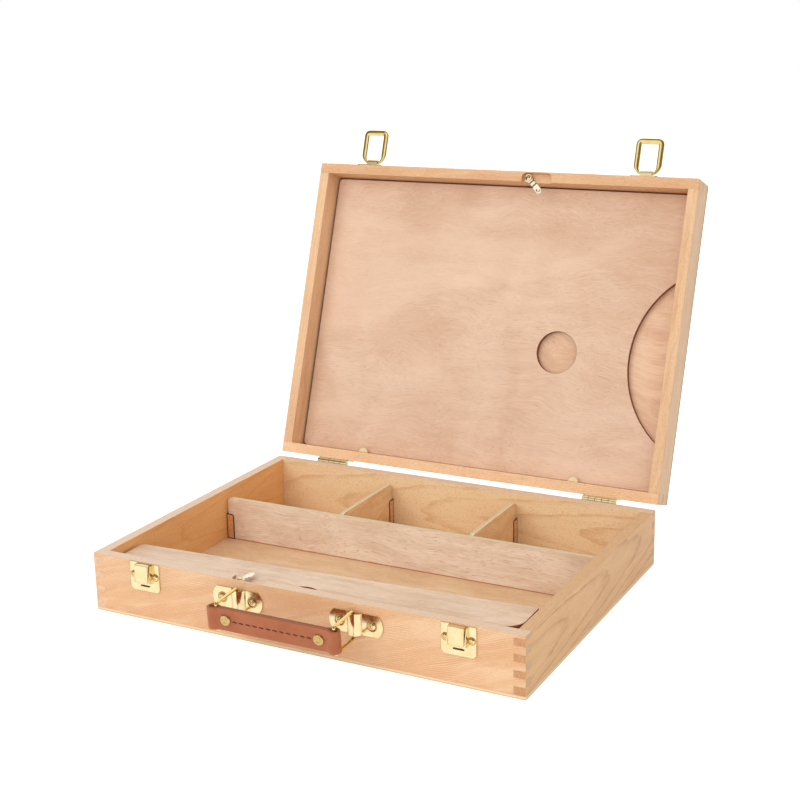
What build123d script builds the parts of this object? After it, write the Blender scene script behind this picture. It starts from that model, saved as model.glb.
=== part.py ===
"""Beech sketch box for watercolours, standing open on its base.

The base is a shallow box with loose dividers and a cover board, the lid carries a
palette, and brass butts, ring catches, turn buttons and a leather handle join them.
Millimetres, +X to the right along the front, +Y to the back, +Z up, origin at the
centre of the underside. The lid pieces are drawn closed and then swung open.
"""
import os
from math import atan, cos, degrees, radians, sin

from build123d import *

# ---- the two boxes -------------------------------------------------------------
box_width = 400
box_depth = 300
base_height = 52
lid_height = 30
wall = 10
ply = 3
edge_radius = 1.2
lid_open_angle = 109.3

# ---- finger joints at the corners ----------------------------------------------
finger_start = 3
finger_height = 6
finger_pitch = 13
finger_least = 2.5

# ---- loose dividers and their clips --------------------------------------------
divider_thickness = 4
divider_height = 41
divider_corner = 4
divider_end_gap = 2
long_divider_y = 38.5
short_divider_x = 66
clip_sheet = 0.6
clip_height = 25
clip_leg = 8
clip_fit = 0.05
clip_wall_gap = 0.2

# ---- cover board over the front compartment ------------------------------------
cover_thickness = 3.5
cover_top_left = 43.7
cover_top_right = 47.9
cover_end_room = 6.4
cover_depth = 41.8
cover_x = -1.6
cover_front_room = 4.5
cover_turn = 1.25
cover_front_corner = 15
cover_back_corner = 5
cover_notch_radius = 16
cover_notch_inset = 5
ledge_width = 8
ledge_height = 8
ledge_depth = 44
ledge_play = 0.1

# ---- palette in the lid --------------------------------------------------------
palette_thickness = 5.5
palette_side_gap = 2
palette_hinge_gap = 0.3
palette_front_gap = 1.5
palette_corner = 4
palette_bite_radius = 96.4
palette_bite_x = 243.8
palette_bite_u = 130.5
palette_hole_radius = 20.5
palette_hole_x = 75.6
disc_radius = 5
disc_thickness = 1.2
disc_left_x = -115
disc_right_x = 111
disc_depth = 16

# ---- turn buttons --------------------------------------------------------------
button_width = 8.2
button_reach = 19.5
button_sheet = 1
button_step = 1.4
button_lift = 0.6
button_ramp_share = 0.42
button_from_edge = 6
recess_depth = 4.3
recess_back = 6.5
recess_front = 24
recess_rim = 1.2
recess_corner = 4.2
lid_button_x = 31
lid_button_angle = 45
base_button_x = -54
base_button_angle = 90
pivot_radius = 1.6
pivot_play = 0.08
pivot_collar_radius = 2.8
pivot_head_radius = 3.4
pivot_head_height = 1.0
pivot_depth = 8

# ---- butt hinges ---------------------------------------------------------------
hinge_x = {"left": -139.4, "right": 144.5}
hinge_length = 32.5
hinge_knuckles = 5
hinge_radius = 3
hinge_axis_out = 3.6
hinge_pin_radius = 1.1
hinge_pin_play = 0.08
hinge_leaf = 14
hinge_sheet = 1.2
hinge_gap = 0.3
hinge_knuckle_gap = 0.15
hinge_screw_head = 2.1
hinge_screw_drop = 9.5
hinge_screw_spread = 9.5

# ---- ring catches --------------------------------------------------------------
catch_x = 145.5
catch_sheet = 1
catch_width = 29.5
catch_height = 25.2
catch_top = {"left": 51.7, "right": 51}
catch_corner = 4
catch_notch_width = 8
catch_notch_depth = 1.6
catch_screw_spread = 11
catch_screw_drop = 11.2
ear_gap = 0.35
ear_thickness = 1
ear_height = 13.5
ear_reach_top = 2.2
lever_width = 13.2
lever_height = 16.3
lever_raise = 6
lever_sheet = 1.1
lever_foot_radius = 2.4
lever_foot = 34.7
lever_back_clear = 0.3
catch_pin_radius = 0.9
catch_pin_play = 0.06
lever_corner = 3.5
slot_width = 9
slot_height = 1
slot_z = 31.4

ring_width = 27.2
ring_reach = 33
ring_end_bar = 5.2
ring_side_bar = 4.5
ring_thickness = 2.4
ring_corner = 5
ring_foot_half = 8
ring_foot_rise = 6
ring_bar_radius = 1.2
ring_pivot_out = 5
ring_pivot_up = 10
ring_bevel = 0.7
plate_width = 27
plate_low = 1
plate_high = 19
plate_corner = 2
plate_screw_spread = 9.5
saddle_width = 11.5
saddle_wall = 1.1
saddle_play = 0.08

# ---- handle --------------------------------------------------------------------
handle_x = 2
handle_z = 35.6
handle_spacing = 110
bracket_length = 48
bracket_height = 18.3
bracket_bulge = 4.4
bracket_sheet = 1
bracket_screw_spread = 14.3
bracket_screw_head = 3.6
bridge_width = 14
bridge_rise = 5.6
bridge_inset = 1.2
wire_radius = 1.4
wire_out = 2.3
wire_bend = 1.9
wire_reach = 30
wire_height = 23.2
wire_rest = 0.5
wire_droop = 3.5
strap_height = 19.8
strap_sheet = 2.5
strap_play = 0.3
strap_loop_room = 2.3
strap_end = 6.8
strap_pinch = 6
strap_shift = -1.5
strap_corner = 3.5
rivet_radius = 4.75
rivet_height = 1.2
rivet_shank_radius = 1.5
rivet_back_radius = 3.5
rivet_spacing = 85.5

# ---- screws --------------------------------------------------------------------
screw_head_radius = 2.7
screw_head_height = 0.9
screw_shank_radius = 1.2
screw_depth = 7
screw_fit = 0.02

# ---- places worked out from the sizes above ------------------------------------
front_face = -box_depth / 2
back_face = box_depth / 2
side_face = box_width / 2
rim = base_height
lid_top = base_height + lid_height
inside_x = side_face - wall
inside_y = box_depth / 2 - wall
hinge_y = back_face + hinge_axis_out
hinge_axis = Axis((0, hinge_y, rim), (1, 0, 0))
palette_face = lid_height - ply - palette_thickness
left_and_right = {"left": -1, "right": 1}

os.makedirs("parts", exist_ok=True)


def save(piece, name):
    """Write one finished piece under its own name."""
    piece.part.label = name
    export_step(piece.part, f"parts/{name}.step")


def save_on_lid(piece, name):
    """Swing a piece drawn on the closed lid open, then write it."""
    piece.part = piece.part.rotate(hinge_axis, -lid_open_angle)
    save(piece, name)


def finger_spans(bottom, top):
    """Heights of the side board's fingers, counted down from the top of a corner."""
    spans = []
    upper = top - finger_start
    while upper - finger_height > bottom - finger_least:
        lower = upper - finger_height
        if lower - bottom < finger_least:
            lower = bottom
        spans.append((lower, upper))
        upper -= finger_pitch
    return spans


def gaps_between(spans, bottom, top):
    """Heights of the sockets between the fingers."""
    edges = [top] + [height for span in spans for height in reversed(span)] + [bottom]
    pairs = zip(edges[::2], edges[1::2])
    return [(low, high) for high, low in pairs if high - low > 0]


def corner_blocks(spans):
    """Blocks that fill the four corners of the box over the given heights."""
    for low, high in spans:
        with BuildSketch(Plane.XY.offset(low)) as corners:
            with GridLocations(box_width - wall, box_depth - wall, 2, 2):
                Rectangle(wall, wall)
        yield extrude(corners.sketch, high - low)


def long_board(y_side, bottom, top):
    """Front or back board: full width, with sockets for the side boards' fingers."""
    with BuildPart() as board:
        with BuildSketch(Plane.XY.offset(bottom)):
            RectangleRounded(box_width, box_depth, edge_radius)
            with Locations((0, y_side * (box_depth - wall) / 2)):
                Rectangle(box_width, wall, mode=Mode.INTERSECT)
        extrude(amount=top - bottom)
        for block in corner_blocks(finger_spans(bottom, top)):
            add(block, mode=Mode.SUBTRACT)
    return board


def side_board(x_side, bottom, top):
    """Side board: full depth, cut back between its fingers."""
    with BuildPart() as board:
        with BuildSketch(Plane.XY.offset(bottom)):
            RectangleRounded(box_width, box_depth, edge_radius)
            with Locations((x_side * (box_width - wall) / 2, 0)):
                Rectangle(wall, box_depth, mode=Mode.INTERSECT)
        extrude(amount=top - bottom)
        for block in corner_blocks(gaps_between(finger_spans(bottom, top), bottom, top)):
            add(block, mode=Mode.SUBTRACT)
    return board


def ply_sheet(bottom):
    """Plywood sheet that closes a box, flush with its boards."""
    with BuildPart() as sheet:
        with BuildSketch(Plane.XY.offset(bottom)):
            RectangleRounded(box_width, box_depth, edge_radius)
        extrude(amount=ply)
    return sheet


def screw(plane, head_radius):
    """Bevel-headed screw, its head's underside on the plane."""
    with BuildPart() as body:
        with BuildSketch(plane):
            Circle(head_radius)
        extrude(amount=screw_head_height)
        top = body.faces().sort_by(Axis(plane.origin, plane.z_dir))[-1]
        chamfer(top.edges(), screw_head_height / 2)
        with BuildSketch(plane):
            Circle(screw_shank_radius)
        extrude(amount=-screw_depth)
    return body


def screws(planes, head_radius):
    """One piece that holds the screws on the given planes."""
    heads = [screw(plane, head_radius).part for plane in planes]
    with BuildPart() as group:
        add(heads)
    return group


def screw_holes(planes):
    """Round rods along the screws' lines, to be cut out of what the screws go through."""
    with BuildPart() as holes:
        for plane in planes:
            with BuildSketch(plane):
                Circle(screw_shank_radius + screw_fit)
            extrude(amount=screw_depth + screw_fit, both=True)
    return holes.part


def drill(piece, planes):
    """Cut the screws' holes through a piece."""
    with piece:
        add(screw_holes(planes), mode=Mode.SUBTRACT)


# ---- where the hardware sits ---------------------------------------------------
def front_plane(x, z, out=0):
    """Plane on the front face, looking out of the box, its X along the front."""
    return Plane((x, front_face - out, z), x_dir=(1, 0, 0), z_dir=(0, -1, 0))


def back_plane(x, z, out=0):
    """Plane on the back face, looking out of the box."""
    return Plane((x, back_face + out, z), x_dir=(1, 0, 0), z_dir=(0, 1, 0))


catch_screws = {
    side: [front_plane(sign * catch_x + dx, catch_top[side] - catch_screw_drop, catch_sheet)
           for dx in (-catch_screw_spread, catch_screw_spread)]
    for side, sign in left_and_right.items()
}
ring_screws = {
    side: [front_plane(sign * catch_x + dx, rim + ring_pivot_up, catch_sheet)
           for dx in (-plate_screw_spread, plate_screw_spread)]
    for side, sign in left_and_right.items()
}
bracket_screws = {
    side: [front_plane(handle_x + sign * handle_spacing / 2 + dx, handle_z, bracket_sheet)
           for dx in (-bracket_screw_spread, bracket_screw_spread)]
    for side, sign in left_and_right.items()
}
base_hinge_screws = {
    side: [back_plane(x + dx, rim - hinge_screw_drop, hinge_sheet)
           for dx in (-hinge_screw_spread, hinge_screw_spread)]
    for side, x in hinge_x.items()
}
lid_hinge_screws = {
    side: [back_plane(x + dx, rim + hinge_screw_drop, hinge_sheet)
           for dx in (-hinge_screw_spread, hinge_screw_spread)]
    for side, x in hinge_x.items()
}
base_pivot = Plane((base_button_x, front_face + button_from_edge, rim - recess_depth))
lid_pivot = Plane(
    (lid_button_x, front_face + button_from_edge, rim + recess_depth),
    x_dir=(1, 0, 0), z_dir=(0, 0, -1),
)


def button_recess(pivot, inward):
    """Room for a turn button and its screw, open to the rim and to the inside."""
    length = recess_back + recess_front
    depth = wall - recess_rim + recess_corner
    outer = recess_rim - button_from_edge
    with BuildPart() as room:
        with BuildSketch(pivot):
            with Locations(((recess_front - recess_back) / 2, inward * (outer + depth / 2))):
                RectangleRounded(length, depth, recess_corner)
        extrude(amount=recess_depth)
        with BuildSketch(pivot):
            Circle(pivot_radius + screw_fit)
        extrude(amount=-pivot_depth - screw_fit)
    return room.part


# ---- base box ------------------------------------------------------------------
base_front_board = long_board(-1, ply, base_height)
base_back_board = long_board(1, ply, base_height)
with base_front_board:
    add(button_recess(base_pivot, 1), mode=Mode.SUBTRACT)
for side in left_and_right:
    drill(base_front_board, catch_screws[side] + bracket_screws[side])
    drill(base_back_board, base_hinge_screws[side])
save(base_front_board, "base_front_board")
save(base_back_board, "base_back_board")
for side, sign in left_and_right.items():
    save(side_board(sign, ply, base_height), f"base_{side}_board")
save(ply_sheet(0), "base_bottom_panel")

# the cover board lies loose on two ledges, lower at its left end and a little askew
cover_width = 2 * inside_x - cover_end_room
cover_half = cover_width / 2
cover_middle = (cover_top_left + cover_top_right) / 2
cover_slope = (cover_top_right - cover_top_left) / cover_width
cover_tilt = atan(cover_slope)


def under_cover(x):
    """Height of the cover board's underside at a place along the box."""
    return cover_middle + x * cover_slope - cover_thickness / cos(cover_tilt)


for side, sign in left_and_right.items():
    lowest_x = sign * (inside_x - ledge_width) if sign > 0 else -cover_half + cover_x
    with BuildPart() as ledge:
        with BuildSketch(Plane.XY.offset(under_cover(lowest_x) - ledge_play)):
            with Locations((sign * (inside_x - ledge_width / 2), ledge_depth / 2 - inside_y)):
                Rectangle(ledge_width, ledge_depth)
        extrude(amount=-ledge_height)
    save(ledge, f"cover_ledge_{side}")

cover_front = cover_front_room - inside_y
cover_back = cover_front + cover_depth
cover_middle_y = cover_front + cover_depth / 2
with BuildPart() as cover_board:
    with BuildSketch(Plane.XY.offset(cover_middle)) as outline:
        with Locations((cover_x, cover_middle_y)):
            Rectangle(cover_width, cover_depth)
        ends = outline.vertices().group_by(Axis.Y)
        fillet(ends[0], cover_front_corner)
        fillet(outline.vertices().group_by(Axis.Y)[-1].sort_by(Axis.X)[0], cover_back_corner)
        with Locations((cover_x, cover_front - cover_notch_inset)):
            Circle(cover_notch_radius, mode=Mode.SUBTRACT)
    extrude(amount=-cover_thickness)
askew = cover_board.part.rotate(Axis((cover_x, cover_back, 0), (0, 0, 1)), cover_turn)
cover_board.part = askew.rotate(Axis((0, 0, cover_middle), (0, 1, 0)), -degrees(cover_tilt))
save(cover_board, "cover_board")

# ---- dividers ------------------------------------------------------------------
divider_top = ply + divider_height


def upright_board(plane, low, high):
    """Thin board on edge with rounded top corners, drawn along the plane's X."""
    with BuildPart() as board:
        with BuildSketch(plane):
            with Locations(((low + high) / 2, ply + divider_height / 2)):
                Rectangle(high - low, divider_height)
        extrude(amount=divider_thickness / 2, both=True)
        across = Axis(plane.origin, plane.z_dir)
        fillet(board.edges().filter_by(across).group_by(Axis.Z)[-1], divider_corner)
    return board


def end_clip(plane, wall_face, facing):
    """Sheet-metal channel over a board's end: its web near the wall, two legs inward."""
    half = divider_thickness / 2 + clip_fit
    web = wall_face - facing * clip_wall_gap
    with BuildPart() as clip:
        with BuildSketch(plane):
            with Locations((web - facing * clip_leg / 2, ply + clip_height / 2)):
                Rectangle(clip_leg, clip_height)
        extrude(amount=half + clip_sheet, both=True)
        with BuildSketch(plane):
            with Locations((web - facing * (clip_leg / 2 + clip_sheet), ply + clip_height / 2)):
                Rectangle(clip_leg, clip_height)
        extrude(amount=half, both=True, mode=Mode.SUBTRACT)
        across = Axis(plane.origin, plane.z_dir)
        legs = clip.edges().filter_by(across).sort_by(Axis(plane.origin, plane.x_dir))
        free = legs[:4] if facing > 0 else legs[-4:]
        fillet(free.group_by(Axis.Z)[-1], clip_leg / 3)
    return clip


long_end = inside_x - divider_end_gap
long_plane = Plane((0, long_divider_y, 0), x_dir=(1, 0, 0), z_dir=(0, -1, 0))
save(upright_board(long_plane, -long_end, long_end), "long_divider")
for side, sign in left_and_right.items():
    save(end_clip(long_plane, sign * inside_x, sign), f"long_divider_clip_{side}")

long_divider_back = long_divider_y + divider_thickness / 2
for side, sign in left_and_right.items():
    across_plane = Plane((sign * short_divider_x, 0, 0), x_dir=(0, 1, 0), z_dir=(1, 0, 0))
    front_end, back_end = long_divider_back + divider_end_gap, inside_y - divider_end_gap
    save(upright_board(across_plane, front_end, back_end), f"short_divider_{side}")
    save(end_clip(across_plane, inside_y, 1), f"short_divider_{side}_back_clip")
    save(end_clip(across_plane, long_divider_back, -1), f"short_divider_{side}_front_clip")

# ---- lid box -------------------------------------------------------------------
lid_front_board = long_board(-1, rim, lid_top - ply)
lid_back_board = long_board(1, rim, lid_top - ply)
with lid_front_board:
    add(button_recess(lid_pivot, -1), mode=Mode.SUBTRACT)
for side in left_and_right:
    drill(lid_front_board, ring_screws[side])
    drill(lid_back_board, lid_hinge_screws[side])
save_on_lid(lid_front_board, "lid_front_board")
save_on_lid(lid_back_board, "lid_back_board")
for side, sign in left_and_right.items():
    save_on_lid(side_board(sign, rim, lid_top - ply), f"lid_{side}_board")
save_on_lid(ply_sheet(lid_top - ply), "lid_top_panel")

# ---- palette: a board with a thumb hole and a bite out of its right edge --------
palette_z = rim + palette_face
palette_low_y = -inside_y + palette_front_gap
palette_high_y = inside_y - palette_hinge_gap
bite_y = back_face - palette_bite_u
with BuildPart() as palette:
    with BuildSketch(Plane.XY.offset(palette_z)):
        with Locations((0, (palette_low_y + palette_high_y) / 2)):
            width = 2 * (inside_x - palette_side_gap)
            RectangleRounded(width, palette_high_y - palette_low_y, palette_corner)
        with Locations((palette_bite_x, bite_y)):
            Circle(palette_bite_radius, mode=Mode.SUBTRACT)
        with Locations((palette_hole_x, bite_y)):
            Circle(palette_hole_radius, mode=Mode.SUBTRACT)
    extrude(amount=palette_thickness)
save_on_lid(palette, "palette")

# half discs on the rail at the hinge side stand over the palette's lower edge
with BuildPart() as palette_discs:
    with BuildSketch(Plane((0, inside_y, rim + disc_depth))):
        with Locations((disc_left_x, 0), (disc_right_x, 0)):
            Circle(disc_radius)
        Rectangle(box_width, 2 * disc_radius, align=(Align.CENTER, Align.MIN), mode=Mode.SUBTRACT)
    extrude(amount=disc_thickness)
save_on_lid(palette_discs, "palette_discs")


# ---- turn buttons --------------------------------------------------------------
button_root = button_lift + button_step
button_top = button_root + button_sheet


def turn_button(pivot, direction):
    """Bent brass tongue on a pivot, pointing in the given direction in plan.

    Its side profile is flat at the pivot, steps down by a ramp, and is flat again
    out to a rounded tip.
    """
    along = Vector(cos(radians(direction)), sin(radians(direction)), 0)
    profile = Plane(pivot.origin, x_dir=along, z_dir=along.cross(pivot.z_dir))
    plan = Plane(pivot.origin, x_dir=along, z_dir=pivot.z_dir)
    heel = -button_width / 2
    ramp = button_reach * button_ramp_share
    bend = button_sheet / 2
    with BuildPart() as button:
        with BuildSketch(profile):
            with BuildLine():
                Polyline(
                    (heel, button_root),
                    (ramp, button_root),
                    (ramp + button_step, button_lift),
                    (button_reach, button_lift),
                    (button_reach, button_lift + button_sheet),
                    (ramp + button_step + bend, button_lift + button_sheet),
                    (ramp + bend, button_top),
                    (heel, button_top),
                    close=True,
                )
            make_face()
        extrude(amount=button_width / 2, both=True)
        with BuildSketch(plan):
            with Locations(((button_reach + heel) / 2, 0)):
                SlotOverall(button_reach - heel, button_width)
        extrude(amount=recess_depth, mode=Mode.INTERSECT)
        with BuildSketch(plan):
            Circle(pivot_radius + pivot_play)
        extrude(amount=recess_depth, mode=Mode.SUBTRACT)
    return button


def pivot_screw(pivot):
    """Shouldered screw: shank in the wood, collar under the button, head over it."""
    with BuildPart() as body:
        with BuildSketch(pivot):
            Circle(pivot_radius)
        extrude(amount=-pivot_depth)
        with BuildSketch(pivot):
            Circle(pivot_collar_radius)
        extrude(amount=button_root - pivot_play)
        with BuildSketch(pivot):
            Circle(pivot_radius)
        extrude(amount=button_top + pivot_play)
        with BuildSketch(pivot.offset(button_top + pivot_play)):
            Circle(pivot_head_radius)
        extrude(amount=pivot_head_height)
        top = body.faces().sort_by(Axis(pivot.origin, pivot.z_dir))[-1]
        chamfer(top.edges(), pivot_head_height / 2)
    return body


save(turn_button(base_pivot, base_button_angle), "base_turn_button")
save(pivot_screw(base_pivot), "base_turn_button_screw")
save_on_lid(turn_button(lid_pivot, lid_button_angle), "lid_turn_button")
save_on_lid(pivot_screw(lid_pivot), "lid_turn_button_screw")


# ---- butt hinges ---------------------------------------------------------------
def hinge_leaf_piece(x, upward, own):
    """One leaf: plate on the back faces, and every second knuckle round the pin."""
    knuckle = hinge_length / hinge_knuckles
    pin_line = Plane((x - hinge_length / 2, hinge_y, rim), x_dir=(0, 1, 0), z_dir=(1, 0, 0))
    with BuildPart() as leaf:
        with BuildSketch(back_plane(x, rim + upward * hinge_leaf / 2)):
            Rectangle(hinge_length, hinge_leaf)
        extrude(amount=hinge_sheet)
        for index in range(hinge_knuckles):
            mine = index % 2 == own
            grow = -hinge_knuckle_gap if mine else hinge_knuckle_gap
            with BuildSketch(pin_line.offset(index * knuckle - grow)):
                Circle(hinge_radius if mine else hinge_radius + hinge_gap)
            extrude(amount=knuckle + 2 * grow, mode=Mode.ADD if mine else Mode.SUBTRACT)
        with BuildSketch(pin_line.offset(-hinge_knuckle_gap)):
            Circle(hinge_pin_radius + hinge_pin_play)
        extrude(amount=hinge_length + 2 * hinge_knuckle_gap, mode=Mode.SUBTRACT)
    return leaf


for side, x in hinge_x.items():
    base_leaf = hinge_leaf_piece(x, -1, 0)
    drill(base_leaf, base_hinge_screws[side])
    save(base_leaf, f"hinge_{side}_base_leaf")
    lid_leaf = hinge_leaf_piece(x, 1, 1)
    drill(lid_leaf, lid_hinge_screws[side])
    save_on_lid(lid_leaf, f"hinge_{side}_lid_leaf")

with BuildPart() as hinge_pins:
    for x in hinge_x.values():
        start = (x - hinge_length / 2, hinge_y, rim)
        with BuildSketch(Plane(start, x_dir=(0, 1, 0), z_dir=(1, 0, 0))):
            Circle(hinge_pin_radius)
        extrude(amount=hinge_length)
save(hinge_pins, "hinge_pins")

base_side_screws = base_hinge_screws["left"] + base_hinge_screws["right"]
lid_side_screws = lid_hinge_screws["left"] + lid_hinge_screws["right"]
save(screws(base_side_screws, hinge_screw_head), "hinge_base_screws")
save_on_lid(screws(lid_side_screws, hinge_screw_head), "hinge_lid_screws")

# ---- ring catches: plate and lever on the base ---------------------------------
plate_face = front_face - catch_sheet
lever_front = lever_raise - catch_sheet
pivot_out = lever_front - lever_foot_radius
catch_pivot_z = lever_foot + lever_foot_radius
ear_out = lever_front - ear_gap
ear_x = (lever_width + ear_thickness) / 2 + ear_gap
notch_radius = (catch_notch_width**2 / 4 + catch_notch_depth**2) / (2 * catch_notch_depth)


def side_profile_plane(x):
    """Plane across a catch: its X points out of the box and its Y up."""
    return Plane((x, plate_face, catch_pivot_z), x_dir=(0, -1, 0), z_dir=(-1, 0, 0))


def catch_plate(x, top):
    """Base plate with two upstanding ears that carry the lever's pin."""
    with BuildPart() as plate:
        with BuildSketch(front_plane(x, top)) as outline:
            Rectangle(catch_width, catch_height, align=(Align.CENTER, Align.MAX))
            fillet(outline.vertices().group_by(Axis.Y)[0], catch_corner)
            with Locations((0, notch_radius - catch_notch_depth)):
                Circle(notch_radius, mode=Mode.SUBTRACT)
            with Locations((0, slot_z - top)):
                Rectangle(slot_width, slot_height, mode=Mode.SUBTRACT)
        extrude(amount=catch_sheet)
        for sign in left_and_right.values():
            with BuildSketch(side_profile_plane(x + sign * ear_x)):
                with BuildLine():
                    Polyline(
                        (-catch_sheet, -lever_foot_radius),
                        (pivot_out, -lever_foot_radius),
                        (ear_out, -lever_foot_radius / 2),
                        (ear_out, lever_foot_radius),
                        (ear_reach_top, ear_height),
                        (-catch_sheet, ear_height),
                        close=True,
                    )
                make_face()
                with Locations((pivot_out, 0)):
                    Circle(catch_pin_radius + screw_fit, mode=Mode.SUBTRACT)
            extrude(amount=ear_thickness / 2, both=True)
    return plate


def catch_lever(x):
    """Folded sheet lever, round about its pin at the foot and hollow at the back."""
    inner_top = lever_height - lever_foot_radius - lever_sheet
    inner_front = lever_front - lever_sheet
    across = side_profile_plane(x)
    with BuildPart() as lever:
        with BuildSketch(across):
            with Locations((pivot_out, 0)):
                Circle(lever_foot_radius)
            with Locations((lever_front, 0)):
                Rectangle(
                    lever_front - lever_back_clear, lever_height - lever_foot_radius,
                    align=(Align.MAX, Align.MIN),
                )
        extrude(amount=lever_width / 2, both=True)
        with BuildSketch(front_plane(x, lever_foot)) as front_view:
            Rectangle(lever_width, lever_height, align=(Align.CENTER, Align.MIN))
            fillet(front_view.vertices().group_by(Axis.Y)[0], lever_corner)
        extrude(amount=lever_raise, mode=Mode.INTERSECT)
        with BuildSketch(across):
            with Locations((pivot_out, 0)):
                Circle(lever_foot_radius - lever_sheet)
            with Locations((inner_front, 0)):
                Rectangle(inner_front + lever_sheet, inner_top, align=(Align.MAX, Align.MIN))
        extrude(amount=lever_width / 2 - lever_sheet, both=True, mode=Mode.SUBTRACT)
        with BuildSketch(across):
            with Locations((pivot_out, 0)):
                Circle(catch_pin_radius + catch_pin_play)
        extrude(amount=lever_width, both=True, mode=Mode.SUBTRACT)
    return lever


for side, sign in left_and_right.items():
    plate = catch_plate(sign * catch_x, catch_top[side])
    drill(plate, catch_screws[side])
    save(plate, f"catch_plate_{side}")
    save(catch_lever(sign * catch_x), f"catch_lever_{side}")

pin_half = ear_x + ear_thickness / 2
with BuildPart() as catch_pins:
    for sign in left_and_right.values():
        with BuildSketch(side_profile_plane(sign * catch_x)):
            with Locations((pivot_out, 0)):
                Circle(catch_pin_radius)
        extrude(amount=pin_half, both=True)
save(catch_pins, "catch_pins")
save(screws(catch_screws["left"] + catch_screws["right"], screw_head_radius), "catch_screws")

# ---- ring catches: plate and ring on the lid -----------------------------------
ring_z = rim + ring_pivot_up
saddle_radius = ring_bar_radius + saddle_play + saddle_wall


def ring_plate(x):
    """Plate on the lid's front with a half-round saddle over the ring's bar."""
    with BuildPart() as plate:
        with BuildSketch(front_plane(x, rim + (plate_low + plate_high) / 2)):
            RectangleRounded(plate_width, plate_high - plate_low, plate_corner)
        extrude(amount=catch_sheet)
        with BuildSketch(Plane((x, front_face, ring_z), x_dir=(0, -1, 0), z_dir=(-1, 0, 0))):
            with Locations((ring_pivot_out, 0)):
                Circle(saddle_radius)
            Rectangle(ring_pivot_out, 2 * saddle_radius, align=(Align.MIN, Align.CENTER))
            with Locations((ring_pivot_out, 0)):
                Circle(ring_bar_radius + saddle_play, mode=Mode.SUBTRACT)
        extrude(amount=saddle_width / 2, both=True)
    return plate


def latch_ring(x):
    """Flat bevelled ring, drawn standing straight out, on a round bar at its foot."""
    plan = Plane((x, front_face - ring_pivot_out, ring_z), x_dir=(1, 0, 0), z_dir=(0, 0, -1))
    half = ring_width / 2
    inner_half = half - ring_side_bar
    inner_foot = ring_foot_half - ring_bar_radius
    with BuildPart() as ring:
        with BuildSketch(plan) as outline:
            with BuildLine():
                Polyline(
                    (-ring_foot_half, -ring_bar_radius), (ring_foot_half, -ring_bar_radius),
                    (half, ring_foot_rise), (half, ring_reach),
                    (-half, ring_reach), (-half, ring_foot_rise),
                    close=True,
                )
            make_face()
            fillet(outline.vertices().group_by(Axis.Y)[-1], ring_corner)
            with BuildLine():
                Polyline(
                    (-inner_foot, -2 * ring_bar_radius), (inner_foot, -2 * ring_bar_radius),
                    (inner_foot, ring_bar_radius), (inner_half, ring_foot_rise + ring_bar_radius),
                    (inner_half, ring_reach - ring_end_bar),
                    (-inner_half, ring_reach - ring_end_bar),
                    (-inner_half, ring_foot_rise + ring_bar_radius), (-inner_foot, ring_bar_radius),
                    close=True,
                )
            make_face(mode=Mode.SUBTRACT)
        extrude(amount=ring_thickness / 2, both=True)
        flats = ring.faces().filter_by(Axis.Z)
        chamfer(flats.edges().filter_by(lambda edge: not is_foot_edge(edge)), ring_bevel)
        with BuildSketch(Plane((x, front_face - ring_pivot_out, ring_z), z_dir=(1, 0, 0))):
            Circle(ring_bar_radius)
        extrude(amount=ring_foot_half - ring_bevel, both=True)
    return ring


def is_foot_edge(edge):
    """True for the short edges beside the ring's round bar."""
    return edge.center().Y > front_face - ring_pivot_out - ring_bar_radius * 1.01


for side, sign in left_and_right.items():
    plate = ring_plate(sign * catch_x)
    drill(plate, ring_screws[side])
    save_on_lid(plate, f"ring_plate_{side}")
    save_on_lid(latch_ring(sign * catch_x), f"latch_ring_{side}")
ring_plate_screws = screws(ring_screws["left"] + ring_screws["right"], screw_head_radius)
save_on_lid(ring_plate_screws, "ring_plate_screws")

# ---- handle --------------------------------------------------------------------
bar_out = wire_out + wire_reach
bar_half_spacing = handle_spacing / 2 - bridge_inset
upper_arm_z = handle_z + bracket_height / 2 + wire_rest + wire_radius
wire_z = upper_arm_z - wire_height / 2
droop_axis = Axis((0, front_face - wire_out, wire_z), (1, 0, 0))


def save_drooping(piece, name):
    """Let a piece drawn level hang down a little from the back bars, then write it."""
    piece.part = piece.part.rotate(droop_axis, wire_droop)
    save(piece, name)


def handle_bracket(x, sign):
    """Plate with bowed ends and an arched bridge over the ring's back bar."""
    half = bracket_length / 2
    straight = half - bracket_bulge
    up = bracket_height / 2
    foot = bridge_width / 2
    arch_radius = (foot**2 + bridge_rise**2) / (2 * bridge_rise)
    plan = Plane((x, front_face, handle_z), x_dir=(-1, 0, 0), z_dir=(0, 0, 1))
    arch_centre = (sign * bridge_inset, bridge_rise - arch_radius)
    with BuildPart() as bracket:
        with BuildSketch(plan):
            with Locations(arch_centre):
                Circle(arch_radius)
            Rectangle(bracket_length, bracket_sheet, align=(Align.CENTER, Align.MIN))
            with Locations(arch_centre):
                Circle(arch_radius - bracket_sheet, mode=Mode.SUBTRACT)
            Rectangle(
                bracket_length, 2 * arch_radius, align=(Align.CENTER, Align.MAX), mode=Mode.SUBTRACT
            )
        extrude(amount=up, both=True)
        with BuildSketch(front_plane(x, handle_z)):
            with BuildLine():
                Line((-straight, up), (straight, up))
                ThreePointArc((straight, up), (half, 0), (straight, -up))
                Line((straight, -up), (-straight, -up))
                ThreePointArc((-straight, -up), (-half, 0), (-straight, up))
            make_face()
        extrude(amount=bridge_rise, mode=Mode.INTERSECT)
    return bracket


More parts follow.
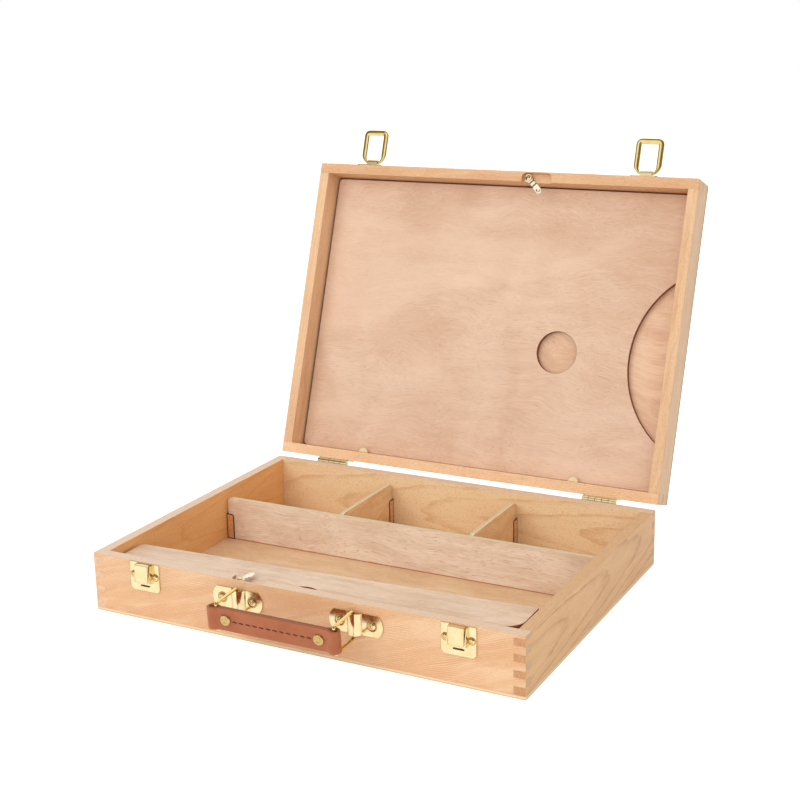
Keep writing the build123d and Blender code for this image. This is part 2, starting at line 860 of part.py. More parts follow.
def wire_ring(x):
    """Rectangular wire loop: its back bar under the bridge, its front bar in the strap."""
    corners = [
        (0, -wire_height / 2), (wire_reach, -wire_height / 2),
        (wire_reach, wire_height / 2), (0, wire_height / 2),
    ]
    back_bar = (x, front_face - wire_out, wire_z)
    with BuildPart() as ring:
        with BuildLine(Plane(back_bar, x_dir=(0, -1, 0), z_dir=(-1, 0, 0))) as path:
            FilletPolyline(*corners, radius=wire_bend, close=True)
        with BuildSketch(Plane(back_bar)):
            Circle(wire_radius)
        sweep(path=path.wires()[0])
    return ring


strap_middle = (
    handle_x + strap_shift,
    front_face - bar_out,
    wire_z - wire_height / 2 + wire_radius + strap_play + strap_height / 2,
)
strap_face = Plane(strap_middle, x_dir=(1, 0, 0), z_dir=(0, -1, 0))
loop_radius = strap_loop_room + strap_sheet
loop_x = bar_half_spacing + strap_end - loop_radius


def leather_strap():
    """Strap folded back on itself round both front bars and pinched flat between."""
    pinch = bar_half_spacing - strap_pinch
    slot_start = bar_half_spacing + strap_shift
    slot_middle = (slot_start + loop_x) / 2
    with BuildPart() as strap:
        with BuildSketch(Plane(strap_middle)):
            with Locations((-loop_x, 0), (loop_x, 0)):
                Circle(loop_radius)
            for sign in left_and_right.values():
                with BuildLine():
                    Polyline(
                        (sign * loop_x, loop_radius), (sign * loop_x, -loop_radius),
                        (sign * pinch, -strap_sheet), (sign * pinch, strap_sheet),
                        close=True,
                    )
                make_face()
            Rectangle(2 * pinch, 2 * strap_sheet)
            with Locations((-slot_middle, 0), (slot_middle, 0)):
                SlotCenterToCenter(loop_x - slot_start, 2 * strap_loop_room, mode=Mode.SUBTRACT)
        extrude(amount=strap_height / 2, both=True)
        with BuildSketch(strap_face):
            RectangleRounded(2 * (loop_x + loop_radius), strap_height, strap_corner)
        extrude(amount=loop_radius, both=True, mode=Mode.INTERSECT)
        with BuildSketch(strap_face):
            with Locations((-rivet_spacing / 2, 0), (rivet_spacing / 2, 0)):
                Circle(rivet_shank_radius + screw_fit)
        extrude(amount=loop_radius, both=True, mode=Mode.SUBTRACT)
    return strap


def strap_rivet_pair():
    """Two rivets: a bevelled head in front, a shank, and a flat head behind."""
    places = [(-rivet_spacing / 2, 0), (rivet_spacing / 2, 0)]
    with BuildPart() as rivets:
        with BuildSketch(strap_face):
            with Locations(*places):
                Circle(rivet_shank_radius)
        extrude(amount=strap_sheet, both=True)
        with BuildSketch(strap_face.offset(strap_sheet)):
            with Locations(*places):
                Circle(rivet_radius)
        extrude(amount=rivet_height)
        front = rivets.faces().group_by(Axis(strap_face.origin, strap_face.z_dir))[-1]
        chamfer(front.edges(), rivet_height / 2)
        with BuildSketch(strap_face.offset(-strap_sheet)):
            with Locations(*places):
                Circle(rivet_back_radius)
        extrude(amount=-rivet_height / 2)
    return rivets


for side, sign in left_and_right.items():
    bracket = handle_bracket(handle_x + sign * handle_spacing / 2, sign)
    drill(bracket, bracket_screws[side])
    save(bracket, f"handle_bracket_{side}")
    save_drooping(wire_ring(handle_x + sign * bar_half_spacing), f"handle_ring_{side}")
both_brackets = bracket_screws["left"] + bracket_screws["right"]
save(screws(both_brackets, bracket_screw_head), "handle_screws")
save_drooping(leather_strap(), "handle_strap")
save_drooping(strap_rivet_pair(), "strap_rivets")
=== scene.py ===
"""Looks of a wooden watercolour sketch box that stands open: solid beech boards, plywood
palette and dividers, pale brass fittings and a sewn leather handle."""
import math

import bpy
import numpy as np
from mathutils import Matrix, Vector


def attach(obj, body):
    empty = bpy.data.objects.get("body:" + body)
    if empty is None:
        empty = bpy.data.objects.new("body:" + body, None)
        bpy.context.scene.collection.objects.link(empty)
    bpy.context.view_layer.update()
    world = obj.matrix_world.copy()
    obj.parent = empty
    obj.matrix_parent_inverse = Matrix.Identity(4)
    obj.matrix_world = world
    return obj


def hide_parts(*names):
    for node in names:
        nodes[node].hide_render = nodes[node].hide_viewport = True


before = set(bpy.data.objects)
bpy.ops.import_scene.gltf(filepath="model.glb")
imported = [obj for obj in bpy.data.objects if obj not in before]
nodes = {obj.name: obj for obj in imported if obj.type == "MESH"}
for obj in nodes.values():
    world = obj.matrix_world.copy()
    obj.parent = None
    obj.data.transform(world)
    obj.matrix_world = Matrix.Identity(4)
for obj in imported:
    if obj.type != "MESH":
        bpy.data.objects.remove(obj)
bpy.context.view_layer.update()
MM = 0.001

# ---- places, in metres and radians ------------------------------------------------
RIM = 0.052  # top of the base's walls, where the lid closes
FRONT, BACK = -0.150, 0.150
HINGE_Y = 0.1536
LID_OPEN = math.radians(109.3)
HINGES = (-0.1394, 0.1445)  # middle of each hinge
CATCH_X = 0.1455
CATCH_TOP = {-1: 0.0517, 1: 0.0510}  # top of the left and of the right catch's plate
RING_BAR_U, RING_BAR_W = 0.305, 0.010  # where the bars of the latch rings lie in the lid
RECESS = 0.0043  # how deep the turn buttons' pivots stand in the rims
HANDLE_X = 0.002
HANDLE_SPAN = 0.110
DROOP = math.radians(3.5)
BAR_BACK = (-0.1523, 0.03505)  # back and height of the handle's wire rings at their plates
BAR_REACH = 0.030
LID_U = Vector((0, -math.cos(LID_OPEN), math.sin(LID_OPEN)))
LID_W = Vector((0, math.sin(LID_OPEN), math.cos(LID_OPEN)))


def in_lid(x, u, w):
    """Place in the open lid: along the hinge, up from the hinge side, out from the rim."""
    return Vector((x, HINGE_Y, RIM)) + (HINGE_Y - BACK + u) * LID_U + w * LID_W


# ---- mesh helpers -----------------------------------------------------------------
def mesh_from(name, points, faces):
    """Object from an array of points and a list of faces, shaded smooth."""
    mesh = bpy.data.meshes.new(name)
    mesh.from_pydata(points.tolist(), [], [tuple(int(i) for i in f) for f in faces])
    mesh.polygons.foreach_set("use_smooth", np.full(len(mesh.polygons), True))
    mesh.update()
    piece = bpy.data.objects.new(name, mesh)
    bpy.context.scene.collection.objects.link(piece)
    return piece


def grid_faces(rows, columns, closed_rows=False, closed_columns=False):
    """Quads of a grid of rows x columns points, wrapped round where it is closed."""
    r = np.arange(rows if closed_rows else rows - 1)
    c = np.arange(columns if closed_columns else columns - 1)
    r, c = np.meshgrid(r, c, indexing="ij")
    r2, c2 = (r + 1) % rows, (c + 1) % columns
    quads = np.stack([r * columns + c, r * columns + c2, r2 * columns + c2, r2 * columns + c], -1)
    return quads.reshape(-1, 4)


def outward(piece):
    """Turn every face of a closed piece outwards."""
    bpy.ops.object.select_all(action="DESELECT")
    bpy.context.view_layer.objects.active = piece
    piece.select_set(True)
    bpy.ops.object.mode_set(mode="EDIT")
    bpy.ops.mesh.select_all(action="SELECT")
    bpy.ops.mesh.normals_make_consistent(inside=False)
    bpy.ops.object.mode_set(mode="OBJECT")
    return piece


def axes_of(axis):
    """Right-handed pair of directions across an axis."""
    axis = Vector(axis).normalized()
    side = axis.cross(Vector((1, 0, 0)) if abs(axis.x) < 0.7 else Vector((0, 0, 1))).normalized()
    return np.array(axis.cross(side)), np.array(side), np.array(axis)


def placed(local, origin, axis, turn=0.0):
    """Points drawn about +Z, turned about it, then stood on an origin along an axis."""
    across, side, up = axes_of(axis)
    c, s = math.cos(turn), math.sin(turn)
    x = local[:, 0] * c - local[:, 1] * s
    y = local[:, 0] * s + local[:, 1] * c
    return np.array(origin) + np.outer(x, across) + np.outer(y, side) + np.outer(local[:, 2], up)


def joined(parts):
    """One array of points and one list of faces from several (points, faces) pairs."""
    points, faces, start = [], [], 0
    for p, f in parts:
        points.append(p)
        faces.extend([tuple(int(i) + start for i in face) for face in f])
        start += len(p)
    return np.concatenate(points), faces


def bar_shape(centres, across, normal, half_width, half_thick, corner, closed=False, dome=0.0):
    """Flat bar with rounded edges carried along a path. Each point of its section is a
    share of the half width and half thickness, less the corner, plus the corner's arc, and
    both faces swell by the dome times one less the square of that share."""
    quarter = np.linspace(0, math.pi / 2, 5)
    above, below = np.linspace(-1, 1, 17), np.linspace(0.75, -0.75, 7)
    runs = [  # shares of the width and thickness, then the arc's own, clockwise from the top
        (above, 1, 0 * above, 1),
        (1, 1, np.sin(quarter[1:]), np.cos(quarter[1:])),
        (1, -1, np.cos(quarter[:-1]), -np.sin(quarter[:-1])),
        (below, -1, 0 * below, -1),
        (-1, -1, -np.sin(quarter[1:]), -np.cos(quarter[1:])),
        (-1, 1, -np.cos(quarter[1:-1]), np.sin(quarter[1:-1]))]
    sx, sz, rx, rz = np.concatenate([np.stack(np.broadcast_arrays(*run)) for run in runs], 1)
    r = np.minimum(np.minimum(corner, half_width), half_thick)[:, None]
    wide = sx * (half_width[:, None] - r) + rx * r
    deep = sz * (half_thick[:, None] - r) + rz * r
    deep = deep + dome * np.sign(sz) * (1 - (wide / half_width[:, None]) ** 2)
    aside, outwards = wide[..., None] * across[:, None], deep[..., None] * normal[:, None]
    points = centres[:, None] + aside + outwards
    faces = grid_faces(len(centres), len(sx), closed_rows=closed, closed_columns=True)
    faces = [tuple(f) for f in faces]
    if not closed:
        count, last = len(sx), (len(centres) - 1) * len(sx)
        faces += [tuple(range(count)), tuple(range(last, last + count))]
    return points.reshape(-1, 3), faces


def rounded_path(corners, radius, steps=10):
    """Closed path round flat corner points: each corner is a quadratic curve that starts
    and ends the given distance from it, and the runs between are straight."""
    corners = np.array(corners, float)
    before, after = np.roll(corners, 1, 0) - corners, np.roll(corners, -1, 0) - corners
    reach = np.array(radius, float)[:, None]
    start = corners + before / np.linalg.norm(before, axis=1)[:, None] * reach
    stop = corners + after / np.linalg.norm(after, axis=1)[:, None] * reach
    t = np.linspace(0, 1, steps)[None, :, None]
    curve = ((1 - t) ** 2 * start[:, None] + 2 * t * (1 - t) * corners[:, None]
             + t**2 * stop[:, None])
    k = np.linspace(0, 1, 8)[None, 1:-1, None]
    runs = stop[:, None] * (1 - k) + np.roll(start, -1, 0)[:, None] * k
    return np.concatenate([curve, runs], 1).reshape(-1, 2)


def headings(path):
    """Direction of a closed flat path at each point, from the point before to the one after."""
    along = np.roll(path, -1, 0) - np.roll(path, 1, 0)
    return along / np.linalg.norm(along, axis=1)[:, None]


def smooth_step(value, low, high):
    """0 below one number and 1 above the other, with a smooth S between them."""
    t = np.clip((value - low) / (high - low), 0, 1)
    return t * t * (3 - 2 * t)


def capped(rings, first, last):
    """Closed shape from a grid of points, rows of rings, and a point at either end."""
    rows, spokes = rings.shape[:2]
    points = np.concatenate([rings.reshape(-1, 3), [first, last]])
    end, below = rows * spokes, (rows - 1) * spokes
    faces = [tuple(f) for f in grid_faces(rows, spokes, closed_columns=True)]
    faces += [(end, (k + 1) % spokes, k) for k in range(spokes)]
    faces += [(end + 1, below + k, below + (k + 1) % spokes) for k in range(spokes)]
    return points, faces


def button_shape(profile, spokes, height=None):
    """Round closed body: a profile of (radius, height) pairs turned about +Z, from the
    middle of its top out, down its side and back to the middle of its underside. A
    function of x, y and the radius may raise its points."""
    profile = np.array(profile, float)
    turn = np.linspace(0, 2 * math.pi, spokes, endpoint=False)
    rr, tt = np.meshgrid(profile[1:-1, 0], turn, indexing="ij")
    zz = np.repeat(profile[1:-1, 1][:, None], spokes, 1)
    ring = np.stack([rr * np.cos(tt), rr * np.sin(tt), zz], -1)
    top = profile[0, 1]
    if height is not None:
        ring[..., 2] += height(ring[..., 0], ring[..., 1], rr)
        top += float(height(np.zeros(1), np.zeros(1), np.zeros(1))[0])
    return capped(ring, (0, 0, top), (0, 0, profile[-1, 1]))


def cross_recess(arm, width, depth, top_radius):
    """Height of a screwdriver's cross at a place on the head: two crossed slots, each the
    product of a soft step across it and a softer one along it, and the deeper one holds."""
    def cut(x, y, r):
        def slot(a, b):
            across = np.clip((width / 2 - np.abs(b)) / (width * 0.28) + 0.5, 0, 1)
            along = np.clip((arm - np.abs(a)) / (arm * 0.35) + 0.5, 0, 1)
            return across * along
        both = np.maximum(slot(x, y), slot(y, x))
        return -depth * both * (r < top_radius)
    return cut


SUNK = 0.15 * MM  # how deep a screw head reaches into what it is screwed to


def screw_shape(radius, height):
    """Raised screw head: a low dome on a short straight rim, with a cross in it. The dome's
    height falls from its middle with the share of the radius to the power 2.4."""
    rings = np.linspace(0, 1, 22)[1:]
    dome = [(0, height)] + [(radius * k, height * (1 - 0.72 * k**2.4)) for k in rings]
    side = [(radius, 0.05 * height), (radius * 0.96, -SUNK), (0, -SUNK)]
    cut = cross_recess(0.54 * radius, 0.28 * radius, 0.45 * height, 0.8 * radius)
    points, faces = button_shape(dome + side, 64, cut)
    points[:, 2] = np.maximum(points[:, 2], -SUNK)
    return points, faces


# ---- materials --------------------------------------------------------------------
class Shades:
    """Node tree of one material, with short calls that add and join its nodes."""

    def __init__(self, name):
        self.material = bpy.data.materials.new(name)
        self.material.use_nodes = True
        self.tree = self.material.node_tree
        self.surface = self.tree.nodes["Principled BSDF"]

    def node(self, kind, **settings):
        """New node of a kind, with its settings."""
        made = self.tree.nodes.new("ShaderNode" + kind)
        for key, value in settings.items():
            setattr(made, key, value)
        return made

    def put(self, node, key, value):
        """Set a socket to a number or colour, or join another node's output to it."""
        if isinstance(value, bpy.types.NodeSocket):
            self.tree.links.new(value, node.inputs[key])
        else:
            node.inputs[key].default_value = value

    def maths(self, operation, *values):
        """Result of one sum on numbers or sockets."""
        made = self.node("Math", operation=operation)
        for k, value in enumerate(values):
            self.put(made, k, value)
        return made.outputs[0]

    def moved(self, vector, amount):
        """Vector with the same amount added along each axis."""
        made = self.node("VectorMath", operation="ADD")
        self.put(made, 0, vector)
        made.inputs[1].default_value = (amount, amount, amount)
        return made.outputs[0]

    def bent(self, vector, pattern, scale, detail, reach):
        """Vector pushed about, up to a reach each way, by a slow noise's colour."""
        slow = self.noise(pattern, scale, detail, output="Color")
        sway = self.node("VectorMath", operation="SCALE")
        self.put(sway, 0, self.moved(slow, -0.5))
        sway.inputs["Scale"].default_value = 2 * reach
        made = self.node("VectorMath", operation="ADD")
        self.put(made, 0, vector)
        self.put(made, 1, sway.outputs[0])
        return made.outputs[0]

    def along(self, vector, axis):
        """How far a vector reaches along an axis."""
        made = self.node("VectorMath", operation="DOT_PRODUCT")
        self.put(made, 0, vector)
        self.put(made, 1, axis)
        return made.outputs["Value"]

    def mapped(self, vector, scale=(1, 1, 1), turn=(0, 0, 0), shift=(0, 0, 0)):
        """Vector turned, scaled and shifted, which centres or stretches a pattern."""
        made = self.node("Mapping")
        self.put(made, "Vector", vector)
        made.inputs["Scale"].default_value = scale
        made.inputs["Rotation"].default_value = turn
        made.inputs["Location"].default_value = shift
        return made.outputs[0]

    def noise(self, vector, scale, detail=2.0, rough=0.5, warp=0.0, output=0):
        """Value or colour of a noise texture."""
        made = self.node("TexNoise")
        self.put(made, "Vector", vector)
        made.inputs["Scale"].default_value = scale
        made.inputs["Detail"].default_value = detail
        made.inputs["Roughness"].default_value = rough
        made.inputs["Distortion"].default_value = warp
        return made.outputs[output]

    def spread(self, value, low, high, to_low=0.0, to_high=1.0):
        """Smooth step from one number to another while a value goes from low to high."""
        made = self.node("MapRange", interpolation_type="SMOOTHSTEP")
        self.put(made, "Value", value)
        for key, number in zip(("From Min", "From Max", "To Min", "To Max"),
                               (low, high, to_low, to_high)):
            made.inputs[key].default_value = number
        return made.outputs[0]

    def ramp(self, value, *stops):
        """Colour that a value gives between stops of (place, colour)."""
        made = self.node("ValToRGB")
        self.put(made, "Fac", value)
        made.color_ramp.elements[0].position, made.color_ramp.elements[0].color = stops[0]
        made.color_ramp.elements[1].position, made.color_ramp.elements[1].color = stops[-1]
        for place, shade in stops[1:-1]:
            made.color_ramp.elements.new(place).color = shade
        return made.outputs[0]

    def blend(self, factor, first, second):
        """Mix of two colours, whose sockets come after those for numbers and vectors."""
        made = self.node("Mix", data_type="RGBA")
        self.put(made, 0, factor)
        self.put(made, 6, first)
        self.put(made, 7, second)
        return made.outputs[2]

    def beyond(self, place, shade_limits, base, shadow):
        """Paint shade on a colour past each limit, an axis and a distance along it."""
        for axis, limit in shade_limits:
            past = self.spread(self.along(place, axis), limit - 0.0001, limit + 0.0001)
            base = self.blend(past, base, shadow)
        return base

    def relief(self, height, depth, strength, edge=None):
        """Bump from a height of 0 to 1, over edges softened by a bevel."""
        made = self.node("Bump")
        made.inputs["Strength"].default_value = strength
        made.inputs["Distance"].default_value = depth
        self.put(made, "Height", height)
        if edge:
            soft = self.node("Bevel", samples=6)
            soft.inputs["Radius"].default_value = edge
            self.put(made, "Normal", soft.outputs[0])
        self.put(self.surface, "Normal", made.outputs[0])


def colour(red, green, blue):
    """Screen colour of 0 to 255 as the linear colour that a socket takes."""
    value = np.array([red, green, blue]) / 255
    linear = np.where(value > 0.04045, ((value + 0.055) / 1.055) ** 2.4, value / 12.92)
    return (*(float(v) for v in linear), 1.0)


def toned(shade, *shares):
    """Colour with each of its parts times its own share, none above full."""
    shares = shares if len(shares) == 3 else shares * 3
    return (*(min(1.0, part * share) for part, share in zip(shade, shares)), 1.0)


# Turns for a pattern whose grain runs along the box, and from its front to its back.
RUN_X = (0, 0, 0)
RUN_Y = (0, 0, -math.pi / 2)


def growth_lines(s, board, pattern, heart, lean, ring, wave, width):
    """Line at the end of each growth ring, from 0 to 1. The distance from a heart line that
    runs nearly along the board, bent by slow noise, is cut into rings, and each line fades
    in patches."""
    apart = s.node("SeparateXYZ")
    s.put(apart, 0, s.bent(board, s.mapped(pattern, (1, 2.4, 2.4)), 10, 2.5, wave))
    aside = []
    for axis, middle, rise in zip("YZ", heart, lean):
        off = s.maths("SUBTRACT", s.maths("MULTIPLY_ADD", apart.outputs["X"], -rise, -middle),
                      s.maths("MULTIPLY", apart.outputs[axis], -1.0))
        aside.append(s.maths("MULTIPLY", off, off))
    away = s.maths("SQRT", s.maths("ADD", *aside))
    jitter = s.noise(s.mapped(pattern, (30, 260, 260)), 1.0, 2)
    saw = s.maths("FRACT", s.maths("MULTIPLY_ADD", jitter, 0.35, s.maths("DIVIDE", away, ring)))
    start = max(0.3, 1 - width / ring)
    line = s.maths("MULTIPLY", s.spread(saw, start, 0.9 + 0.1 * start),
                   s.spread(saw, 0.93, 1.0, 1.0, 0.0))
    patchy = s.noise(s.mapped(pattern, (40, 90, 90), shift=(3, 1, 2)), 1.0, 3)
    return s.maths("MULTIPLY", line, s.spread(patchy, 0.34, 0.62, 0.25, 1.0))


def beech(name, turn, light, dark, end, heart=(-0.12, -0.4), lean=(0.0, 0.2), ring=0.0014,
          lines=0.45, broad=0.3, wave=0.006, spots=0.4, shift=(0, 0, 0), rim_colour=None,
          lid_turn=0.0, slope=0.0, line_width=0.0016):
    """Solid beech. Broad soft bands, fine fibres and slow clouds give its tone. Over them
    lie thin brown growth lines, short dark flecks and pale glints. An upper rim may have a
    colour of its own, and the ends of the grain show dark pores."""
    s = Shades(name)
    place = s.node("TexCoord")
    flat = s.mapped(place.outputs["Object"], turn=(lid_turn, 0, 0))
    board = s.mapped(flat, turn=turn)
    pattern = s.mapped(board, turn=(0, slope, 0), shift=shift)
    line = growth_lines(s, board, pattern, heart, lean, ring, wave, line_width)
    bands = s.noise(s.mapped(pattern, (14, 130, 130), turn=(0, 0.12, 0)), 1.0, 2, 0.55, 0.4)
    fibre = s.noise(s.mapped(pattern, (60, 1300, 1300)), 1.0, 3, 0.65)
    cloud = s.noise(pattern, 6, 2)
    tone = s.maths("MULTIPLY", s.spread(bands, 0.32, 0.68), broad)
    tone = s.maths("ADD", tone, s.maths("MULTIPLY", s.spread(fibre, 0.3, 0.7), 0.30))
    tone = s.maths("ADD", tone, s.maths("MULTIPLY", s.spread(cloud, 0.3, 0.7), 0.25))
    wood = s.ramp(tone, (0.12, light), (0.85, dark))
    ink = toned(dark, 0.80, 0.66, 0.52)
    wood = s.blend(s.maths("MULTIPLY", line, lines), wood, ink)
    fleck = s.noise(s.mapped(pattern, (380, 1100, 1100), shift=(0.3, 0.1, 0.7)), 1.0, 2, 0.6)
    marks = s.spread(fleck, 0.56, 0.70, 0.0, spots)
    wood = s.blend(marks, wood, ink)
    sheen = s.noise(s.mapped(pattern, (420, 1200, 1200), shift=(4.3, 6.1, 2.7)), 1.0, 2, 0.6)
    glints = s.spread(sheen, 0.56, 0.70, 0.0, 0.8 * spots)
    wood = s.blend(glints, wood, toned(light, 1.14))
    facing = s.mapped(place.outputs["Normal"], turn=(lid_turn, 0, 0))
    if rim_colour:
        on_rim = s.spread(s.along(facing, (0, 0, 1)), 0.8, 0.95)
        speck = s.noise(s.mapped(pattern, (150, 1100, 1100)), 1.0, 3, 0.7)
        rim = s.ramp(speck, (0.3, toned(rim_colour, 0.80)), (0.62, rim_colour))
        wood = s.blend(on_rim, wood, rim)
    along_grain = s.along(s.mapped(facing, turn=turn), (1, 0, 0))
    at_end = s.spread(s.maths("ABSOLUTE", along_grain), 0.75, 0.9)
    pores = s.noise(s.mapped(board, (1, 1500, 300)), 1.0, 3, 0.6)
    ends = s.ramp(pores, (0.35, end), (0.68, toned(end, 0.66)))
    wood = s.blend(at_end, wood, ends)
    s.put(s.surface, "Base Color", wood)
    s.put(s.surface, "Roughness", s.spread(fibre, 0.3, 0.75, 0.38, 0.52))
    s.surface.inputs["Coat Weight"].default_value = 0.1
    s.surface.inputs["Coat Roughness"].default_value = 0.3
    s.relief(s.maths("SUBTRACT", fibre, s.maths("MULTIPLY", marks, 0.8)),
             0.00012, 0.5, 0.0007)
    return s.material


PLY = 0.0012  # thickness of one ply in all the plywood


def plywood(name, light, dark, edge, edge_dark, thin=(0, 0, 1), turn=RUN_X, lid_turn=0.0,
            swirl=0.03, streak=0.5, shift=(0, 0, 0), blotch=0.5, marks=0.25, fine=1.0,
            shade_limits=(), veil=0.0):
    """Peeled veneer: wavy fibres along the grain over slow pale and dark clouds, then short
    dark pores and pale glints, then a pale veil in slanting bands. On the cut sides lie the
    thin plies, one dark and one pale. Past each shade limit the veneer has painted shade."""
    s = Shades(name)
    place = s.node("TexCoord")
    flat = s.mapped(place.outputs["Object"], turn=(lid_turn, 0, 0))
    board = s.mapped(flat, turn=turn, shift=shift)
    bent = s.bent(board, board, 11, 2, swirl)
    fibre = s.noise(s.mapped(bent, (70, 900, 900)), 1.0, 3, 0.6)
    wide = s.noise(s.mapped(bent, (9, 110, 110)), 1.0, 3, 0.6)
    cloud = s.noise(s.mapped(board, (1.0, 0.7, 1.0), shift=(2.1, 4.2, 0.4)), 9, 3, 0.5, 1.2)
    tone = s.maths("MULTIPLY", fibre, 0.35)
    tone = s.maths("ADD", tone, s.maths("MULTIPLY", wide, streak))
    tone = s.maths("ADD", tone, s.maths("MULTIPLY", cloud, blotch))
    middle = 0.5 * (0.35 + streak + blotch)
    veneer = s.ramp(s.spread(tone, middle - 0.26, middle + 0.26), (0.0, light), (1.0, dark))
    for length, fineness, aside, share, shade in (
            (60, 850, (5, 2, 1), 1.0, toned(dark, 0.80, 0.64, 0.52)),
            (70, 760, (1, 7, 3), 0.8, toned(light, 1.12))):
        specks = s.mapped(bent, (length, fineness * fine, fineness * fine), shift=aside)
        speck = s.noise(specks, 1.0, 2, 0.55)
        veneer = s.blend(s.spread(speck, 0.56, 0.68, 0.0, share * marks), veneer, shade)
    smoke = s.noise(s.mapped(board, (2.6, 7.5, 5), turn=(0, 0, -0.75)), 1.0, 2.5, 0.5, 1.5)
    veneer = s.blend(s.spread(smoke, 0.48, 0.66, 0.0, veil), veneer, toned(light, 1.07))
    # Painted shade past each limit, for gaps and feet that lie in shadow.
    veneer = s.beyond(place.outputs["Object"], shade_limits, veneer, toned(dark, 0.70, 0.30, 0.16))
    facing = s.mapped(place.outputs["Normal"], turn=(lid_turn, 0, 0))
    on_side = s.spread(s.maths("ABSOLUTE", s.along(facing, thin)), 0.35, 0.7, 1.0, 0.0)
    layer = s.maths("SINE", s.maths("MULTIPLY", s.along(flat, thin), math.pi / PLY))
    rough_cut = s.noise(s.mapped(flat, (600, 600, 600)), 1.0, 2)
    plies = s.maths("ADD", s.maths("MULTIPLY_ADD", layer, 0.3, 0.3),
                    s.maths("MULTIPLY", rough_cut, 0.5))
    side = s.ramp(plies, (0.2, edge), (0.8, edge_dark))
    s.put(s.surface, "Base Color", s.blend(on_side, veneer, side))
    s.put(s.surface, "Roughness", s.spread(fibre, 0.3, 0.7, 0.42, 0.58))
    s.relief(fibre, 0.0001, 0.45, 0.0004)
    return s.material


def metal(name, pale, deep, rough, edge=None, relief=0.25, solid=1.0, rim=None, painted_crease_shade=None,
          shade_limits=()):
    """Bright plated sheet: its colour and gloss drift slowly, with fine rolling marks. A rim,
    a colour and a width, is painted shade where a rounded normal leaves the flat one, a crease
    colour is painted shade where the piece is marked for it, and past each shade limit the
    plating has painted shade."""
    s = Shades(name)
    place = s.node("TexCoord")
    drift = s.noise(place.outputs["Object"], 130, 3)
    marks = s.noise(s.mapped(place.outputs["Object"], (500, 500, 500)), 1.0, 3, 0.6)
    plating = s.ramp(drift, (0.3, deep), (0.7, pale))
    # Painted shade: the rim colour darkens the plating along rounded edges.
    if rim:
        rounded = s.node("Bevel", samples=8)
        rounded.inputs["Radius"].default_value = rim[1]
        near = s.along(s.node("NewGeometry").outputs["Normal"], rounded.outputs[0])
        plating = s.blend(s.spread(near, 0.86, 0.995, 1.0, 0.0), plating, rim[0])
    if painted_crease_shade:
        marked = s.node("Attribute", attribute_name="painted_crease_shade")
        plating = s.blend(marked.outputs["Fac"], plating, painted_crease_shade)
    plating = s.beyond(place.outputs["Object"], shade_limits, plating, colour(84, 48, 30))
    s.put(s.surface, "Base Color", plating)
    s.surface.inputs["Metallic"].default_value = solid
    s.put(s.surface, "Roughness", s.spread(marks, 0.3, 0.7, rough * 0.8, rough * 1.25))
    s.relief(marks, 0.00004, relief, edge)
    return s.material


def leather(name):
    """Saddle leather: grained and faintly mottled, with dark burnished cut edges, read
    from the strap's own edge attribute."""
    s = Shades(name)
    place = s.node("TexCoord")
    pebble = s.node("TexVoronoi", feature="F1")
    s.put(pebble, "Vector", s.mapped(place.outputs["Object"], (1, 1.2, 1.2)))
    pebble.inputs["Scale"].default_value = 1500
    mottle = s.noise(place.outputs["Object"], 90, 3)
    fine = s.noise(place.outputs["Object"], 2600, 2)
    tone = s.maths("ADD", s.maths("MULTIPLY", mottle, 0.7),
                   s.maths("MULTIPLY", pebble.outputs["Distance"], 0.35))
    skin = s.ramp(tone, (0.25, colour(176, 97, 50)), (0.75, colour(155, 79, 38)))
    cut = s.node("Attribute", attribute_name="cut_edge")
    burnish = s.blend(s.spread(fine, 0.35, 0.65), colour(150, 86, 54),
                      colour(122, 66, 42))
    s.put(s.surface, "Base Color", s.blend(cut.outputs["Fac"], skin, burnish))
    s.put(s.surface, "Roughness", s.spread(mottle, 0.3, 0.7, 0.40, 0.52))
    height = s.maths("ADD", pebble.outputs["Distance"], s.maths("MULTIPLY", fine, 0.4))
    s.relief(height, 0.0001, 0.35)
    s.surface.inputs["Coat Weight"].default_value = 0.25
    s.surface.inputs["Coat Roughness"].default_value = 0.25
    return s.material


def thread(name):
    """Waxed thread: dark brown, twisted, so that its bump runs round it in fine turns."""
    s = Shades(name)
    place = s.node("TexCoord")
    twist = s.noise(s.mapped(place.outputs["Object"], (2200, 900, 900)), 1.0, 2)
    s.put(s.surface, "Base Color",
          s.ramp(twist, (0.3, colour(84, 38, 26)), (0.7, colour(54, 22, 14))))
    s.surface.inputs["Roughness"].default_value = 0.6
    s.relief(twist, 0.0001, 0.5)
    return s.material


def give(names, material):
    """Put one material on each of the named CAD nodes."""
    for name in names:
        nodes[name].data.materials.clear()
        nodes[name].data.materials.append(material)


FACE_LIGHT, FACE_DARK = colour(236, 198, 158), colour(224, 176, 132)
FACE_END, LID_END = colour(216, 172, 128), colour(222, 178, 138)
RIM_TINT = colour(228, 198, 170)
give(["base_front_board"],
     beech("beech front", RUN_X, FACE_LIGHT, FACE_DARK, FACE_END, lean=(0.0, 0.36), lines=0.8,
           broad=0.6, slope=0.3, rim_colour=RIM_TINT))
give(["base_back_board"],
     beech("beech back", RUN_X, colour(242, 215, 173), colour(230, 189, 141), FACE_END,
           heart=(0.112, 0.02), lean=(0.10, 0.03), ring=0.0085, lines=0.55, wave=0.005,
           broad=0.15, spots=0.75, line_width=0.0034, shift=(0.31, 0.2, 0.1),
           rim_colour=RIM_TINT))
give(["base_left_board"],
     beech("beech left", RUN_Y, colour(240, 188, 124), colour(226, 162, 100),
           colour(240, 198, 160), heart=(0.165, 0.03), lean=(0.08, 0.0), ring=0.0075,
           lines=0.55, wave=0.005, spots=0.55, shift=(0.61, 0.4, 0.3), rim_colour=RIM_TINT))
